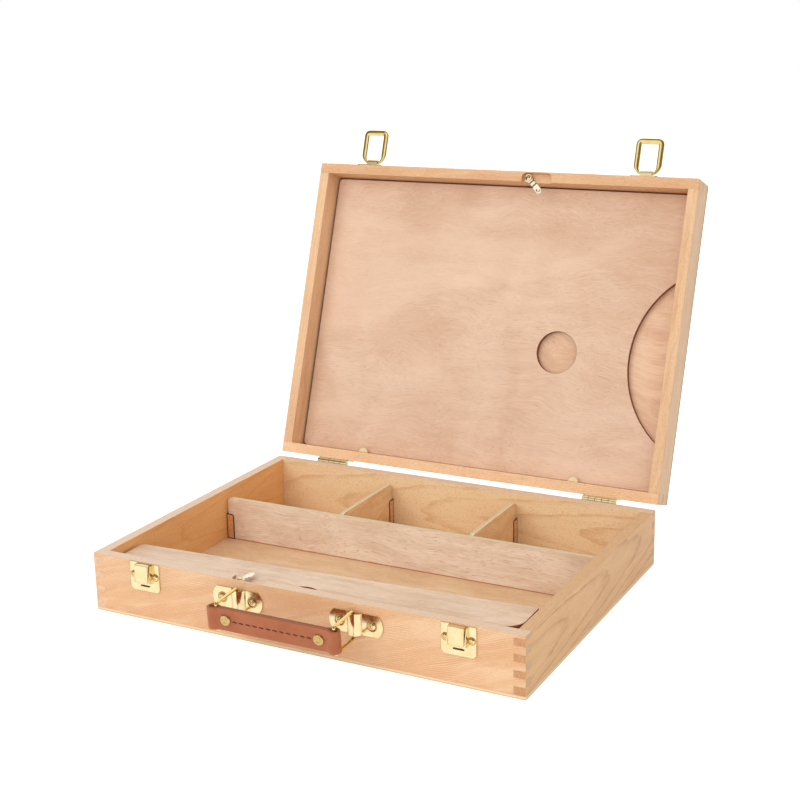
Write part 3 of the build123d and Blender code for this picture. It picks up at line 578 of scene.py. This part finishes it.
give(["base_right_board"],
     beech("beech right", RUN_Y, colour(226, 180, 124), colour(209, 155, 99),
           colour(212, 154, 108), heart=(-0.172, 0.034), lean=(0.07, 0.05), ring=0.0062,
           lines=1.0, wave=0.003, spots=0.3, line_width=0.0022, shift=(0.17, 0.3, 0.9),
           rim_colour=colour(216, 174, 130)))
give(["lid_front_board"],
     beech("beech lid front", RUN_X, colour(226, 184, 142), colour(210, 158, 114),
           colour(234, 184, 140), spots=0.55, shift=(0.13, 0.13, 0)))
give(["lid_back_board"],
     beech("beech lid back", RUN_X, colour(246, 208, 166), colour(232, 182, 138), LID_END,
           spots=0.7, lean=(0.1, 0.1), shift=(0.71, 0.71, 0)))
for side, along, pale in (("left", 0.37, 4), ("right", 0.92, 0)):
    give([f"lid_{side}_board"],
         beech(f"beech lid {side}", RUN_Y, colour(230 + pale, 191 + pale, 150 + pale),
               colour(214 + pale, 167 + pale, 124 + pale), LID_END, heart=(-0.16, 0.2),
               ring=0.003, lean=(0.02, 0.03), lines=0.35, spots=0.5, shift=(along, along, 0),
               lid_turn=LID_OPEN))
give(["cover_ledge_left", "cover_ledge_right"],
     beech("beech ledges", RUN_Y, FACE_LIGHT, FACE_DARK, FACE_END))

BURNT, BURNT_DARK = colour(150, 88, 56), colour(112, 58, 36)
PANEL_SIDE, PANEL_TOP = 0.1879, 0.2884  # past these the lid's panel gets painted shade, outside as well
LONG_FOOT, SHORT_FOOT = 0.0038, 0.0036  # heights below which the dividers stand in shadow
UP, DOWN = (0, 0, 1), (0, 0, -1)
give(["palette"],
     plywood("palette veneer", colour(228, 196, 170), colour(206, 166, 136), BURNT, BURNT_DARK,
             lid_turn=LID_OPEN, streak=0.35, swirl=0.024, blotch=0.75, marks=0.3, fine=1.1,
             veil=0.45))
# Painted shade where the panel lies in the gap round the palette; it shows on the panel's outside
# too.
give(["lid_top_panel"],
     plywood("lid panel veneer", colour(235, 199, 167), colour(213, 168, 134),
             colour(214, 176, 136), colour(170, 122, 84), lid_turn=LID_OPEN, streak=0.8,
             shift=(0.4, 0.2, 0),
             shade_limits=[((-1, 0, 0), PANEL_SIDE), (LID_U, in_lid(0, PANEL_TOP, 0).dot(LID_U))]))
give(["cover_board"],
     plywood("cover veneer", colour(228, 204, 180), colour(206, 176, 148), BURNT, BURNT_DARK,
             streak=0.9, swirl=0.015, shift=(0.2, 0.6, 0), marks=0.35))
# Both kinds of divider get a painted shadow line along their feet, below LONG_FOOT and SHORT_FOOT.
give(["long_divider"],
     plywood("long divider veneer", colour(246, 226, 204), colour(222, 194, 168),
             colour(228, 216, 184), colour(196, 176, 138), thin=(0, 1, 0), streak=0.9,
             swirl=0.012, shift=(0.9, 0.1, 0), marks=0.6, fine=1.5,
             shade_limits=[(DOWN, -LONG_FOOT)]))
give(["short_divider_left", "short_divider_right"],
     plywood("short divider veneer", colour(240, 203, 156), colour(219, 173, 123),
             colour(232, 216, 180), colour(200, 176, 136), thin=(1, 0, 0), turn=RUN_Y,
             streak=0.8, shift=(0.1, 0.7, 0.2), marks=0.4, shade_limits=[(DOWN, -SHORT_FOOT)]))
give(["base_bottom_panel"],
     plywood("bottom veneer", colour(229, 196, 158), colour(209, 168, 126),
             colour(240, 214, 178), colour(222, 186, 144), streak=0.6, shift=(0.5, 0.5, 0),
             marks=0.35))

# Each rim colour below is painted shade along rounded edges; the polished brass's crease colour is
# painted shade in the turn buttons' steps.
BRASS = metal("pale brass", colour(244, 228, 186), colour(236, 214, 162), 0.15, edge=0.00025,
              rim=(colour(196, 158, 88), 0.0005))
SOFT_BRASS = metal("pale brass with rolled edges", colour(242, 224, 180), colour(234, 210, 156),
                   0.15, edge=0.0008, rim=(colour(168, 128, 66), 0.0005))
BRIGHT = metal("bright screw plating", colour(246, 230, 190), colour(236, 208, 150), 0.12)
POLISHED = metal("polished pale brass", colour(255, 248, 226), colour(250, 238, 206), 0.12,
                 edge=0.00025, rim=(colour(158, 118, 66), 0.0003), painted_crease_shade=colour(104, 72, 36))
GOLD = metal("bright gold plating", colour(252, 230, 164), colour(244, 212, 134), 0.09)
DULL_BRASS = metal("antique brass", colour(218, 194, 136), colour(190, 160, 102), 0.24)
SEAT = metal("shaded screw seat", colour(204, 168, 108), colour(172, 132, 78), 0.2)
SLOT_SHADE = metal("shaded slot", colour(112, 72, 40), colour(84, 50, 28), 0.4)
SADDLE = leather("saddle leather")
THREAD = thread("waxed thread")
CLIP_LINE = 0.0009  # how far the painted shade line reaches in from the sides of a clip's legs


def clip_steel(node):
    """Sheet steel of one clip, with painted shade along the four sides of its legs: past the
    farthest point of its mesh each way, less the width of the line."""
    mesh = nodes[node].data
    points = np.empty(3 * len(mesh.vertices))
    mesh.vertices.foreach_get("co", points)
    points = points.reshape(-1, 3)
    run = np.array((0.0, 1.0, 0.0) if "short" in node else (1.0, 0.0, 0.0))
    up = np.array(UP, float)
    sides = [(tuple(way), float((points @ way).max()) - CLIP_LINE) for way in (run, -run, up, -up)]
    # Painted shade past each limit, for the dark outlines of the clip's legs.
    return metal("steel of " + node, colour(240, 196, 148), colour(226, 176, 126), 0.32,
                 relief=0.1, solid=0.5, shade_limits=sides)


for n in nodes:
    if "clip" in n:
        give([n], clip_steel(n))
    elif any(word in n for word in ("hinge", "catch", "ring", "bracket", "button", "discs")):
        give([n], BRASS)
give(["handle_ring_left", "handle_ring_right"], GOLD)
give(["catch_lever_left", "catch_lever_right"], SOFT_BRASS)
give(["handle_strap"], SADDLE)
give(["strap_rivets"], DULL_BRASS)


# ---- fitting ----------------------------------------------------------------------
def fit(piece, material, body, stands_for=None):
    """Give a finished piece its material and body, and hide the node that it stands for."""
    piece.data.materials.append(material)
    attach(piece, body)
    if stands_for:
        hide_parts(stands_for)


# ---- screws -----------------------------------------------------------------------
OUT_FRONT, OUT_BACK = Vector((0, -1, 0)), Vector((0, 1, 0))
PLATE_FACE = FRONT - 0.001
LEAF = 0.0012  # thickness of a hinge's leaf
LEAF_ROW = 0.0095  # how far its screws lie from its middle, and from the hinge's rim
# Screws of the front's fittings: across, up, and how far aside of their fitting's middle.
CATCH_SCREWS = [(s * CATCH_X + d, CATCH_TOP[s] - 0.0112, d)
                for s in (-1, 1) for d in (-0.011, 0.011)]
HANDLE_SCREWS = [(HANDLE_X + s * HANDLE_SPAN / 2 + d, 0.0356, d)
                 for s in (-1, 1) for d in (-0.0143, 0.0143)]
HINGE_SCREWS = [(x + d, d) for x in HINGES for d in (-LEAF_ROW, LEAF_ROW)]


def screw_set(name, node, body, places, radius, height):
    """Screw heads at (place, outward axis, turn) over the node's plain ones. Each turn is a
    little different, so that the crosses don't line up."""
    head, faces = screw_shape(radius, height)
    parts = [(placed(head, place, axis, turn), faces) for place, axis, turn in places]
    fit(outward(mesh_from(name, *joined(parts))), BRIGHT, body, node)


screw_set("catch_screw_heads", "catch_screws", "base",
          [(Vector((x, PLATE_FACE, z)), OUT_FRONT, 0.5 + 9 * d) for x, z, d in CATCH_SCREWS],
          0.0027, 0.0019)
screw_set("ring_plate_screw_heads", "ring_plate_screws", "lid",
          [(in_lid(s * CATCH_X + d, 0.301, RING_BAR_W), LID_U, 0.3 + 20 * d)
           for s in (-1, 1) for d in (-0.0095, 0.0095)], 0.0027, 0.0013)
screw_set("handle_screw_heads", "handle_screws", "base",
          [(Vector((x, PLATE_FACE, z)), OUT_FRONT, 0.6 + 30 * d) for x, z, d in HANDLE_SCREWS],
          0.0031, 0.0018)
screw_set("hinge_base_screw_heads", "hinge_base_screws", "base",
          [(Vector((x, BACK + LEAF, RIM - LEAF_ROW)), OUT_BACK, 0.4 + 40 * d)
           for x, d in HINGE_SCREWS], 0.0021, 0.0010)
screw_set("hinge_lid_screw_heads", "hinge_lid_screws", "lid",
          [(in_lid(x, -LEAF, LEAF_ROW), -LID_U, 0.2 + 40 * d) for x, d in HINGE_SCREWS],
          0.0021, 0.0010)


def screw_seats():
    """Shaded countersunk seats round the front's screws, smaller round the catches' ones."""
    profile = MM * np.array([(0, 0.05), (3.0, 0.06), (3.4, 0.10), (3.9, 0.32), (4.3, 0.34),
                             (4.6, 0.18), (4.7, -0.1), (0, -0.1)])
    seat, faces = button_shape(profile, 48)
    parts = [(placed(seat * size, Vector((x, PLATE_FACE, z)), OUT_FRONT), faces)
             for screws, size in ((HANDLE_SCREWS, 1.0), (CATCH_SCREWS, 0.74)) for x, z, _ in screws]
    fit(outward(mesh_from("screw_seats", *joined(parts))), SEAT, "base")


def catch_slot_shadows():
    """Painted shadow in the slot of each catch's plate, under its lever: a thin dark bar whose
    width falls from its middle with the sixth power of the way to its ends."""
    run = np.linspace(-1, 1, 9)
    upright, outwards = np.tile([0, 0, 1.0], (9, 1)), np.tile([0, -1.0, 0], (9, 1))
    bars = []
    for s in (-1, 1):
        line = np.stack([s * CATCH_X + 0.0048 * run, 0 * run + PLATE_FACE - 0.00002,
                         0 * run + 0.0313], 1)
        bars.append(bar_shape(line, upright, outwards, 0.00085 * (1 - 0.3 * run**6),
                              np.full(9, 0.0001), 0.00008))
    fit(outward(mesh_from("catch_slot_shadows", *joined(bars))), SLOT_SHADE, "base")


screw_seats()
catch_slot_shadows()


# ---- turn buttons -----------------------------------------------------------------
def tongue(origin, along, across, up):
    """Turn button's tongue, and how much painted shade its steps take at each point. In
    millimetres from the pivot, its width follows a table and ends in a half circle, its height
    steps down twice, smoothly, and a dimple with a sloping side is sunk into its tip."""
    tip, tip_radius, dimple = 16.4, 3.1, 15.6
    a = np.concatenate([np.linspace(0.2, tip + 0.2, 74),
                        tip + tip_radius * np.sin(np.linspace(0.1, 1.5705, 18))])
    width = np.interp(a, [0, 3.4, 4.6, 9.6, 11.2, tip], [3.0, 2.9, 2.55, 2.55, 3.1, 3.1])
    round_end = tip_radius * np.sqrt(np.clip(1 - ((a - tip) / tip_radius) ** 2, 1e-6, 1))
    width = np.where(a > tip, round_end, width)
    middle = 2.5 - 0.75 * smooth_step(a, 4.6, 5.6) - 0.65 * smooth_step(a, 8.6, 9.7)
    rows = len(a)
    centres = origin + MM * (a[:, None] * along + middle[:, None] * up)
    points, faces = bar_shape(centres, np.tile(across, (rows, 1)), np.tile(up, (rows, 1)),
                              MM * width, np.full(rows, 0.5 * MM), 0.3 * MM)
    off = (points - origin) / MM
    x, y, z = off @ along, off @ across, off @ up
    on_top = z > np.interp(x, a, middle)
    sink = 0.42 * np.clip((2.0 - np.hypot(x - dimple, y)) / 0.7, 0, 1)
    points -= (MM * sink * on_top)[:, None] * up
    in_step = np.maximum(1 - np.abs(x - 5.1) / 0.7, 1 - np.abs(x - 9.15) / 0.7)
    return (points, faces), in_step


def turn_button(name, node, origin, along, up, screw_body):
    """Stepped tongue under a raised round rim, with a domed rivet through both. The steps
    and the ring between rim and rivet are marked for painted shade."""
    rim_profile = [(0, 2.6), (2.5, 2.6), (2.75, 2.95), (3.1, 3.3), (3.5, 3.36), (3.85, 3.2),
                   (4.05, 2.8), (4.1, 2.2), (4.0, 2.0), (0, 2.0)]
    rivet_profile = [(0, 4.0), (0.6, 3.95), (1.2, 3.75), (1.65, 3.4), (1.9, 2.9), (1.95, 2.6),
                     (1.6, 2.3), (0, 2.3)]
    origin, along, up = np.array(origin), np.array(along), np.array(up)
    arm, in_step = tongue(origin, along, np.cross(up, along), up)
    rim, rim_faces = button_shape(MM * np.array(rim_profile), 56)
    piece = mesh_from(name, *joined([arm, (placed(rim, origin, up), rim_faces)]))
    in_ring = 1 - np.abs(np.hypot(rim[:, 0], rim[:, 1]) / MM - 2.3) / 0.6
    # Painted shade in the steps and in the ring round the rivet.
    mark = piece.data.attributes.new("painted_crease_shade", "FLOAT", "POINT")
    mark.data.foreach_set("value", np.clip(1.6 * np.concatenate([in_step, in_ring]), 0, 1))
    fit(outward(piece), POLISHED, node, node)
    rivet, rivet_faces = button_shape(MM * np.array(rivet_profile), 40)
    head = outward(mesh_from(name + "_rivet", placed(rivet, origin, up), rivet_faces))
    fit(head, GOLD, screw_body, node + "_screw")


turn_button("base_button", "base_turn_button", (-0.054, -0.144, RIM - RECESS), (0, 1, 0), UP,
            "base")
ASLANT = math.radians(45)
turn_button("lid_button", "lid_turn_button", in_lid(0.031, 0.294, RECESS),
            math.cos(ASLANT) * Vector((1, 0, 0)) - math.sin(ASLANT) * LID_U, -LID_W, "lid")


# ---- latch rings ------------------------------------------------------------------
def latch_ring(name, node, x):
    """Closed band round a rounded outline that narrows to the bar in the saddle. Its width
    grows from the bar to the end, and both its faces are domed. Sizes in millimetres."""
    path = rounded_path([(11.0, 30.2), (-11.0, 30.2), (-11.0, 4.6), (-7.7, 0), (7.7, 0),
                         (11.0, 4.6)], [3.6, 3.6, 2.6, 1.6, 1.6, 2.6])
    along = headings(path)
    side, up, out = np.array((1.0, 0, 0)), np.array(LID_U), -np.array(LID_W)
    centres = (np.array(in_lid(x, RING_BAR_U, RING_BAR_W))
               + MM * (path[:, :1] * side + path[:, 1:] * up))
    across = along[:, 1:] * side - along[:, :1] * up
    wide = np.interp(path[:, 1], [0, 0.8, 6.5, 25, 30.2], [1.2, 1.25, 2.55, 2.6, 2.78])
    band = bar_shape(centres, across, np.tile(out, (len(path), 1)), MM * wide,
                     np.full(len(path), 0.86 * MM), 0.6 * MM, closed=True, dome=0.34 * MM)
    fit(outward(mesh_from(name, *band)), GOLD, node, node)


latch_ring("ring_band_left", "latch_ring_left", -CATCH_X)
latch_ring("ring_band_right", "latch_ring_right", CATCH_X)


# ---- leather strap ----------------------------------------------------------------
STRAP_ASIDE = 0.0015  # how far the strap lies left of the handle's middle
STRAP_MIDDLE = np.array((HANDLE_X - STRAP_ASIDE, BAR_BACK[0] - BAR_REACH, BAR_BACK[1]))
LOOP_RADIUS, SHEET = 0.0048, 0.0023
WIRE_X, PAST_WIRE, BEFORE_WIRE = 0.0538, 0.0068, 0.006
LOOP_X = WIRE_X + PAST_WIRE - LOOP_RADIUS
PINCH = WIRE_X - BEFORE_WIRE
RIVET_X = 0.0855 / 2
STRAP_HALF = 0.0198 / 2
STITCHES, PITCH = 12, 0.0062


def drooped(points):
    """Hang points that are drawn level down a little from the handle's back bars."""
    c, s = math.cos(DROOP), math.sin(DROOP)
    y, z = points[:, 1] - BAR_BACK[0], points[:, 2] - BAR_BACK[1]
    return np.stack([points[:, 0], BAR_BACK[0] + c * y - s * z, BAR_BACK[1] + s * y + c * z], 1)


def strap_line():
    """Middle line of the folded strap seen from above: straight sheets sewn together in
    the middle that part in a smooth step, and a half circle round each bar."""
    mid = LOOP_RADIUS - SHEET / 2
    flat = SHEET / 2 + 0.00001
    x = np.linspace(-LOOP_X, LOOP_X, 150)
    front = np.stack([x, -(flat + (mid - flat) * smooth_step(np.abs(x), PINCH, LOOP_X))], 1)
    turn = np.linspace(-math.pi / 2, math.pi / 2, 22)[1:-1]
    right = np.stack([LOOP_X + mid * np.cos(turn), mid * np.sin(turn)], 1)
    return np.concatenate([front, right, -front, -right])


def strap_mesh():
    """A flat bar with rounded edges carried round the middle line on its normals, a
    little lower where it turns round the bars. Its cut edges are marked from 0 to 1."""
    line = strap_line()
    along = headings(line)
    normal = np.stack([along[:, 1], -along[:, 0], 0 * along[:, 0]], 1)
    rise = np.clip((np.abs(line[:, 0]) - LOOP_X) / LOOP_RADIUS, 0, 1)
    half = STRAP_HALF - 0.0009 * rise**2 - 0.00012
    flat = np.concatenate([line, 0 * line[:, :1]], 1)
    points, faces = bar_shape(flat, np.tile(np.array(UP, float), (len(line), 1)), normal, half,
                              np.full(len(line), SHEET / 2), 0.0009, closed=True)
    each = len(points) // len(line)
    edge = np.clip((np.abs(points[:, 2]) - np.repeat(half, each) + 0.0006) / 0.0005, 0, 1)
    piece = mesh_from("leather_strap", drooped(points + STRAP_MIDDLE), faces)
    mark = piece.data.attributes.new("cut_edge", "FLOAT", "POINT")
    mark.data.foreach_set("value", edge)
    return outward(piece)


def on_strap(name, places, shape, out, material, stands_for=None):
    """Small pieces at (across, up, turn) on the strap's front, hanging with it."""
    points, faces = shape
    face = STRAP_MIDDLE + np.array([0, -out, 0])
    parts = [(drooped(placed(points, face + np.array([x, 0, z]), OUT_FRONT, turn)), faces)
             for x, z, turn in places]
    fit(outward(mesh_from(name, *joined(parts))), material, "handle_strap", stands_for)


def stitch_shape(length, radius, flat):
    """Rod with round ends, laid along X and pressed flat. At an angle from nothing to half a
    turn, it is as far along as the cosine and as thick as the sine to the power 0.45."""
    t = np.linspace(0, math.pi, 11)[1:-1, None]
    turn = np.linspace(0, 2 * math.pi, 10, endpoint=False)[None]
    thick = radius * np.sin(t) ** 0.45
    x = -np.cos(t) * length / 2 + 0 * turn
    rings = np.stack([x, thick * np.cos(turn), thick * np.sin(turn) * flat], -1)
    return capped(rings, (-length / 2, 0, 0), (length / 2, 0, 0))


fit(strap_mesh(), SADDLE, "handle_strap", "handle_strap")
stitch_x = (np.arange(STITCHES) - (STITCHES - 1) / 2) * PITCH
on_strap("stitches", [(x, -0.0004, 0.10) for x in stitch_x],
         stitch_shape(0.0042, 0.00058, 0.6), 0.0024, THREAD)
RIVETS = [(-RIVET_X, 0, 0), (RIVET_X, 0, 0)]
HEAD_PROFILE = [(0, 0.35), (1.2, 0.42), (2.1, 0.72), (2.7, 1.12), (3.3, 1.30), (3.8, 1.24),
                (4.3, 1.00), (4.6, 0.62), (4.75, 0.2), (4.65, -0.1), (0, -0.1)]
BACK_PROFILE = [(0, -5.6), (1.6, -5.6), (3.0, -5.5), (3.5, -5.1), (3.4, -4.9), (0, -4.9)]
on_strap("rivet_heads", RIVETS, button_shape(MM * np.array(HEAD_PROFILE), 48), 0.0025,
         DULL_BRASS, "strap_rivets")
on_strap("rivet_backs", RIVETS, button_shape(MM * np.array(BACK_PROFILE), 40), 0.0025,
         DULL_BRASS)

# ---- light, floor and camera ------------------------------------------------------
scene = bpy.context.scene
scene.view_settings.view_transform = "Standard"
# Fitted to the box's corners: eye in metres, lens in millimetres, angles in radians.
EYE = (0.590908528, -1.08020398, 0.511705534)
LENS = 67.0334
EYE_ROUND, EYE_UP, ROLL = 0.486188913, 0.270077927, -0.0197424124
CARD_FAR, CARD_HEIGHT = 3.2, 0.15
FLOOR_REACH, FLOOR_DROP = 6, 0.00005


def camera():
    """Camera at the place and turn fitted to the box's corners."""
    data = bpy.data.cameras.new("camera")
    data.sensor_width, data.lens = 36, LENS
    data.clip_start, data.clip_end = 0.01, 20
    eye = bpy.data.objects.new("camera", data)
    scene.collection.objects.link(eye)
    back = Vector((math.sin(EYE_ROUND) * math.cos(EYE_UP),
                   -math.cos(EYE_ROUND) * math.cos(EYE_UP), math.sin(EYE_UP)))
    level = (-back).cross(Vector(UP)).normalized()
    upright = level.cross(-back)
    right = math.cos(ROLL) * level + math.sin(ROLL) * upright
    up = -math.sin(ROLL) * level + math.cos(ROLL) * upright
    turn = Matrix((right, up, back)).transposed().to_4x4()
    eye.matrix_world = Matrix.Translation(EYE) @ turn
    scene.camera = eye


def lamp(name, place, aim, size, watts, tint=(1, 1, 1)):
    """Square soft lamp that looks at a point and isn't mirrored in metal."""
    data = bpy.data.lights.new(name, "AREA")
    data.size, data.energy, data.color = size, watts, tint
    made = bpy.data.objects.new(name, data)
    scene.collection.objects.link(made)
    made.location = place
    made.visible_glossy = False
    made.rotation_euler = (Vector(aim) - Vector(place)).to_track_quat("-Z", "Y").to_euler()


def white_world():
    """World that lights the box softly, while the camera, glass and shiny things see plain
    white."""
    world = bpy.data.worlds.new("room")
    scene.world = world
    world.use_nodes = True
    tree = world.node_tree
    tree.nodes.clear()
    out = tree.nodes.new("ShaderNodeOutputWorld")
    mix = tree.nodes.new("ShaderNodeMixShader")
    path = tree.nodes.new("ShaderNodeLightPath")
    fill = tree.nodes.new("ShaderNodeBackground")
    fill.inputs[0].default_value = (1, 0.985, 0.96, 1)
    fill.inputs[1].default_value = 0.75
    seen = tree.nodes.new("ShaderNodeBackground")
    seen.inputs[0].default_value = (1, 1, 1, 1)
    white_for = path.outputs["Is Camera Ray"]
    for ray in ("Is Transmission Ray", "Is Glossy Ray"):
        either = tree.nodes.new("ShaderNodeMath")
        either.operation = "MAXIMUM"
        tree.links.new(white_for, either.inputs[0])
        tree.links.new(path.outputs[ray], either.inputs[1])
        white_for = either.outputs[0]
    for k, shader in enumerate((white_for, fill.outputs[0], seen.outputs[0])):
        tree.links.new(shader, mix.inputs[k])
    tree.links.new(mix.outputs[0], out.inputs[0])


def white_floor():
    """White floor, just under the box, that keeps a soft part of the box's shadow."""
    r, z = FLOOR_REACH, -FLOOR_DROP
    corners = np.array([[-r, -r, z], [r, -r, z], [r, r, z], [-r, r, z]])
    floor = mesh_from("floor", corners, [(0, 1, 2, 3)])
    s = Shades("floor white")
    s.surface.inputs["Base Color"].default_value = (0.9, 0.9, 0.9, 1)
    s.surface.inputs["Roughness"].default_value = 0.8
    s.surface.inputs["Specular IOR Level"].default_value = 0.1
    path = s.node("LightPath")
    glow = s.maths("MULTIPLY_ADD", path.outputs["Is Glossy Ray"], 0.25,
                   s.maths("MULTIPLY", path.outputs["Is Camera Ray"], 0.6))
    s.surface.inputs["Emission Color"].default_value = (1, 1, 1, 1)
    s.put(s.surface, "Emission Strength", glow)
    floor.data.materials.append(s.material)


def dark_card(name, azimuths, heights):
    """Dark curved card round the room, part of a sphere between two azimuths and two
    heights in degrees. Only shiny metal sees it, so that bright plating has dark parts."""
    across, upward = 28, 10
    tt, ll = np.meshgrid(np.radians(np.linspace(*azimuths, across)),
                         np.radians(np.linspace(*heights, upward)), indexing="ij")
    ball = np.stack([np.sin(tt) * np.cos(ll), -np.cos(tt) * np.cos(ll), np.sin(ll)], -1)
    points = CARD_FAR * ball.reshape(-1, 3) + np.array([0, 0, CARD_HEIGHT])
    card = mesh_from(name, points, grid_faces(across, upward))
    s = Shades(name + " cloth")
    s.surface.inputs["Base Color"].default_value = (0.27, 0.205, 0.12, 1)
    s.surface.inputs["Roughness"].default_value = 0.9
    card.data.materials.append(s.material)
    card.visible_camera = card.visible_diffuse = card.visible_shadow = False
    card.visible_transmission = False


dark_card("front card", (-38, -15), (46, 66))
dark_card("left card", (-100, -38), (11, 66))
dark_card("right card", (-15, 75), (11, 66))
dark_card("side card", (80, 130), (2, 50))
camera()
lamp("key", (-0.9, -1.5, 1.3), (0, 0, 0.08), 1.2, 13.4)
lamp("fill", (0.9, -1.5, 0.7), (0, 0, 0.15), 1.4, 6.6, (0.96, 1.0, 1.06))
lamp("top", (0.1, 0.1, 2.0), (0, 0, 0), 1.6, 5)
white_world()
white_floor()
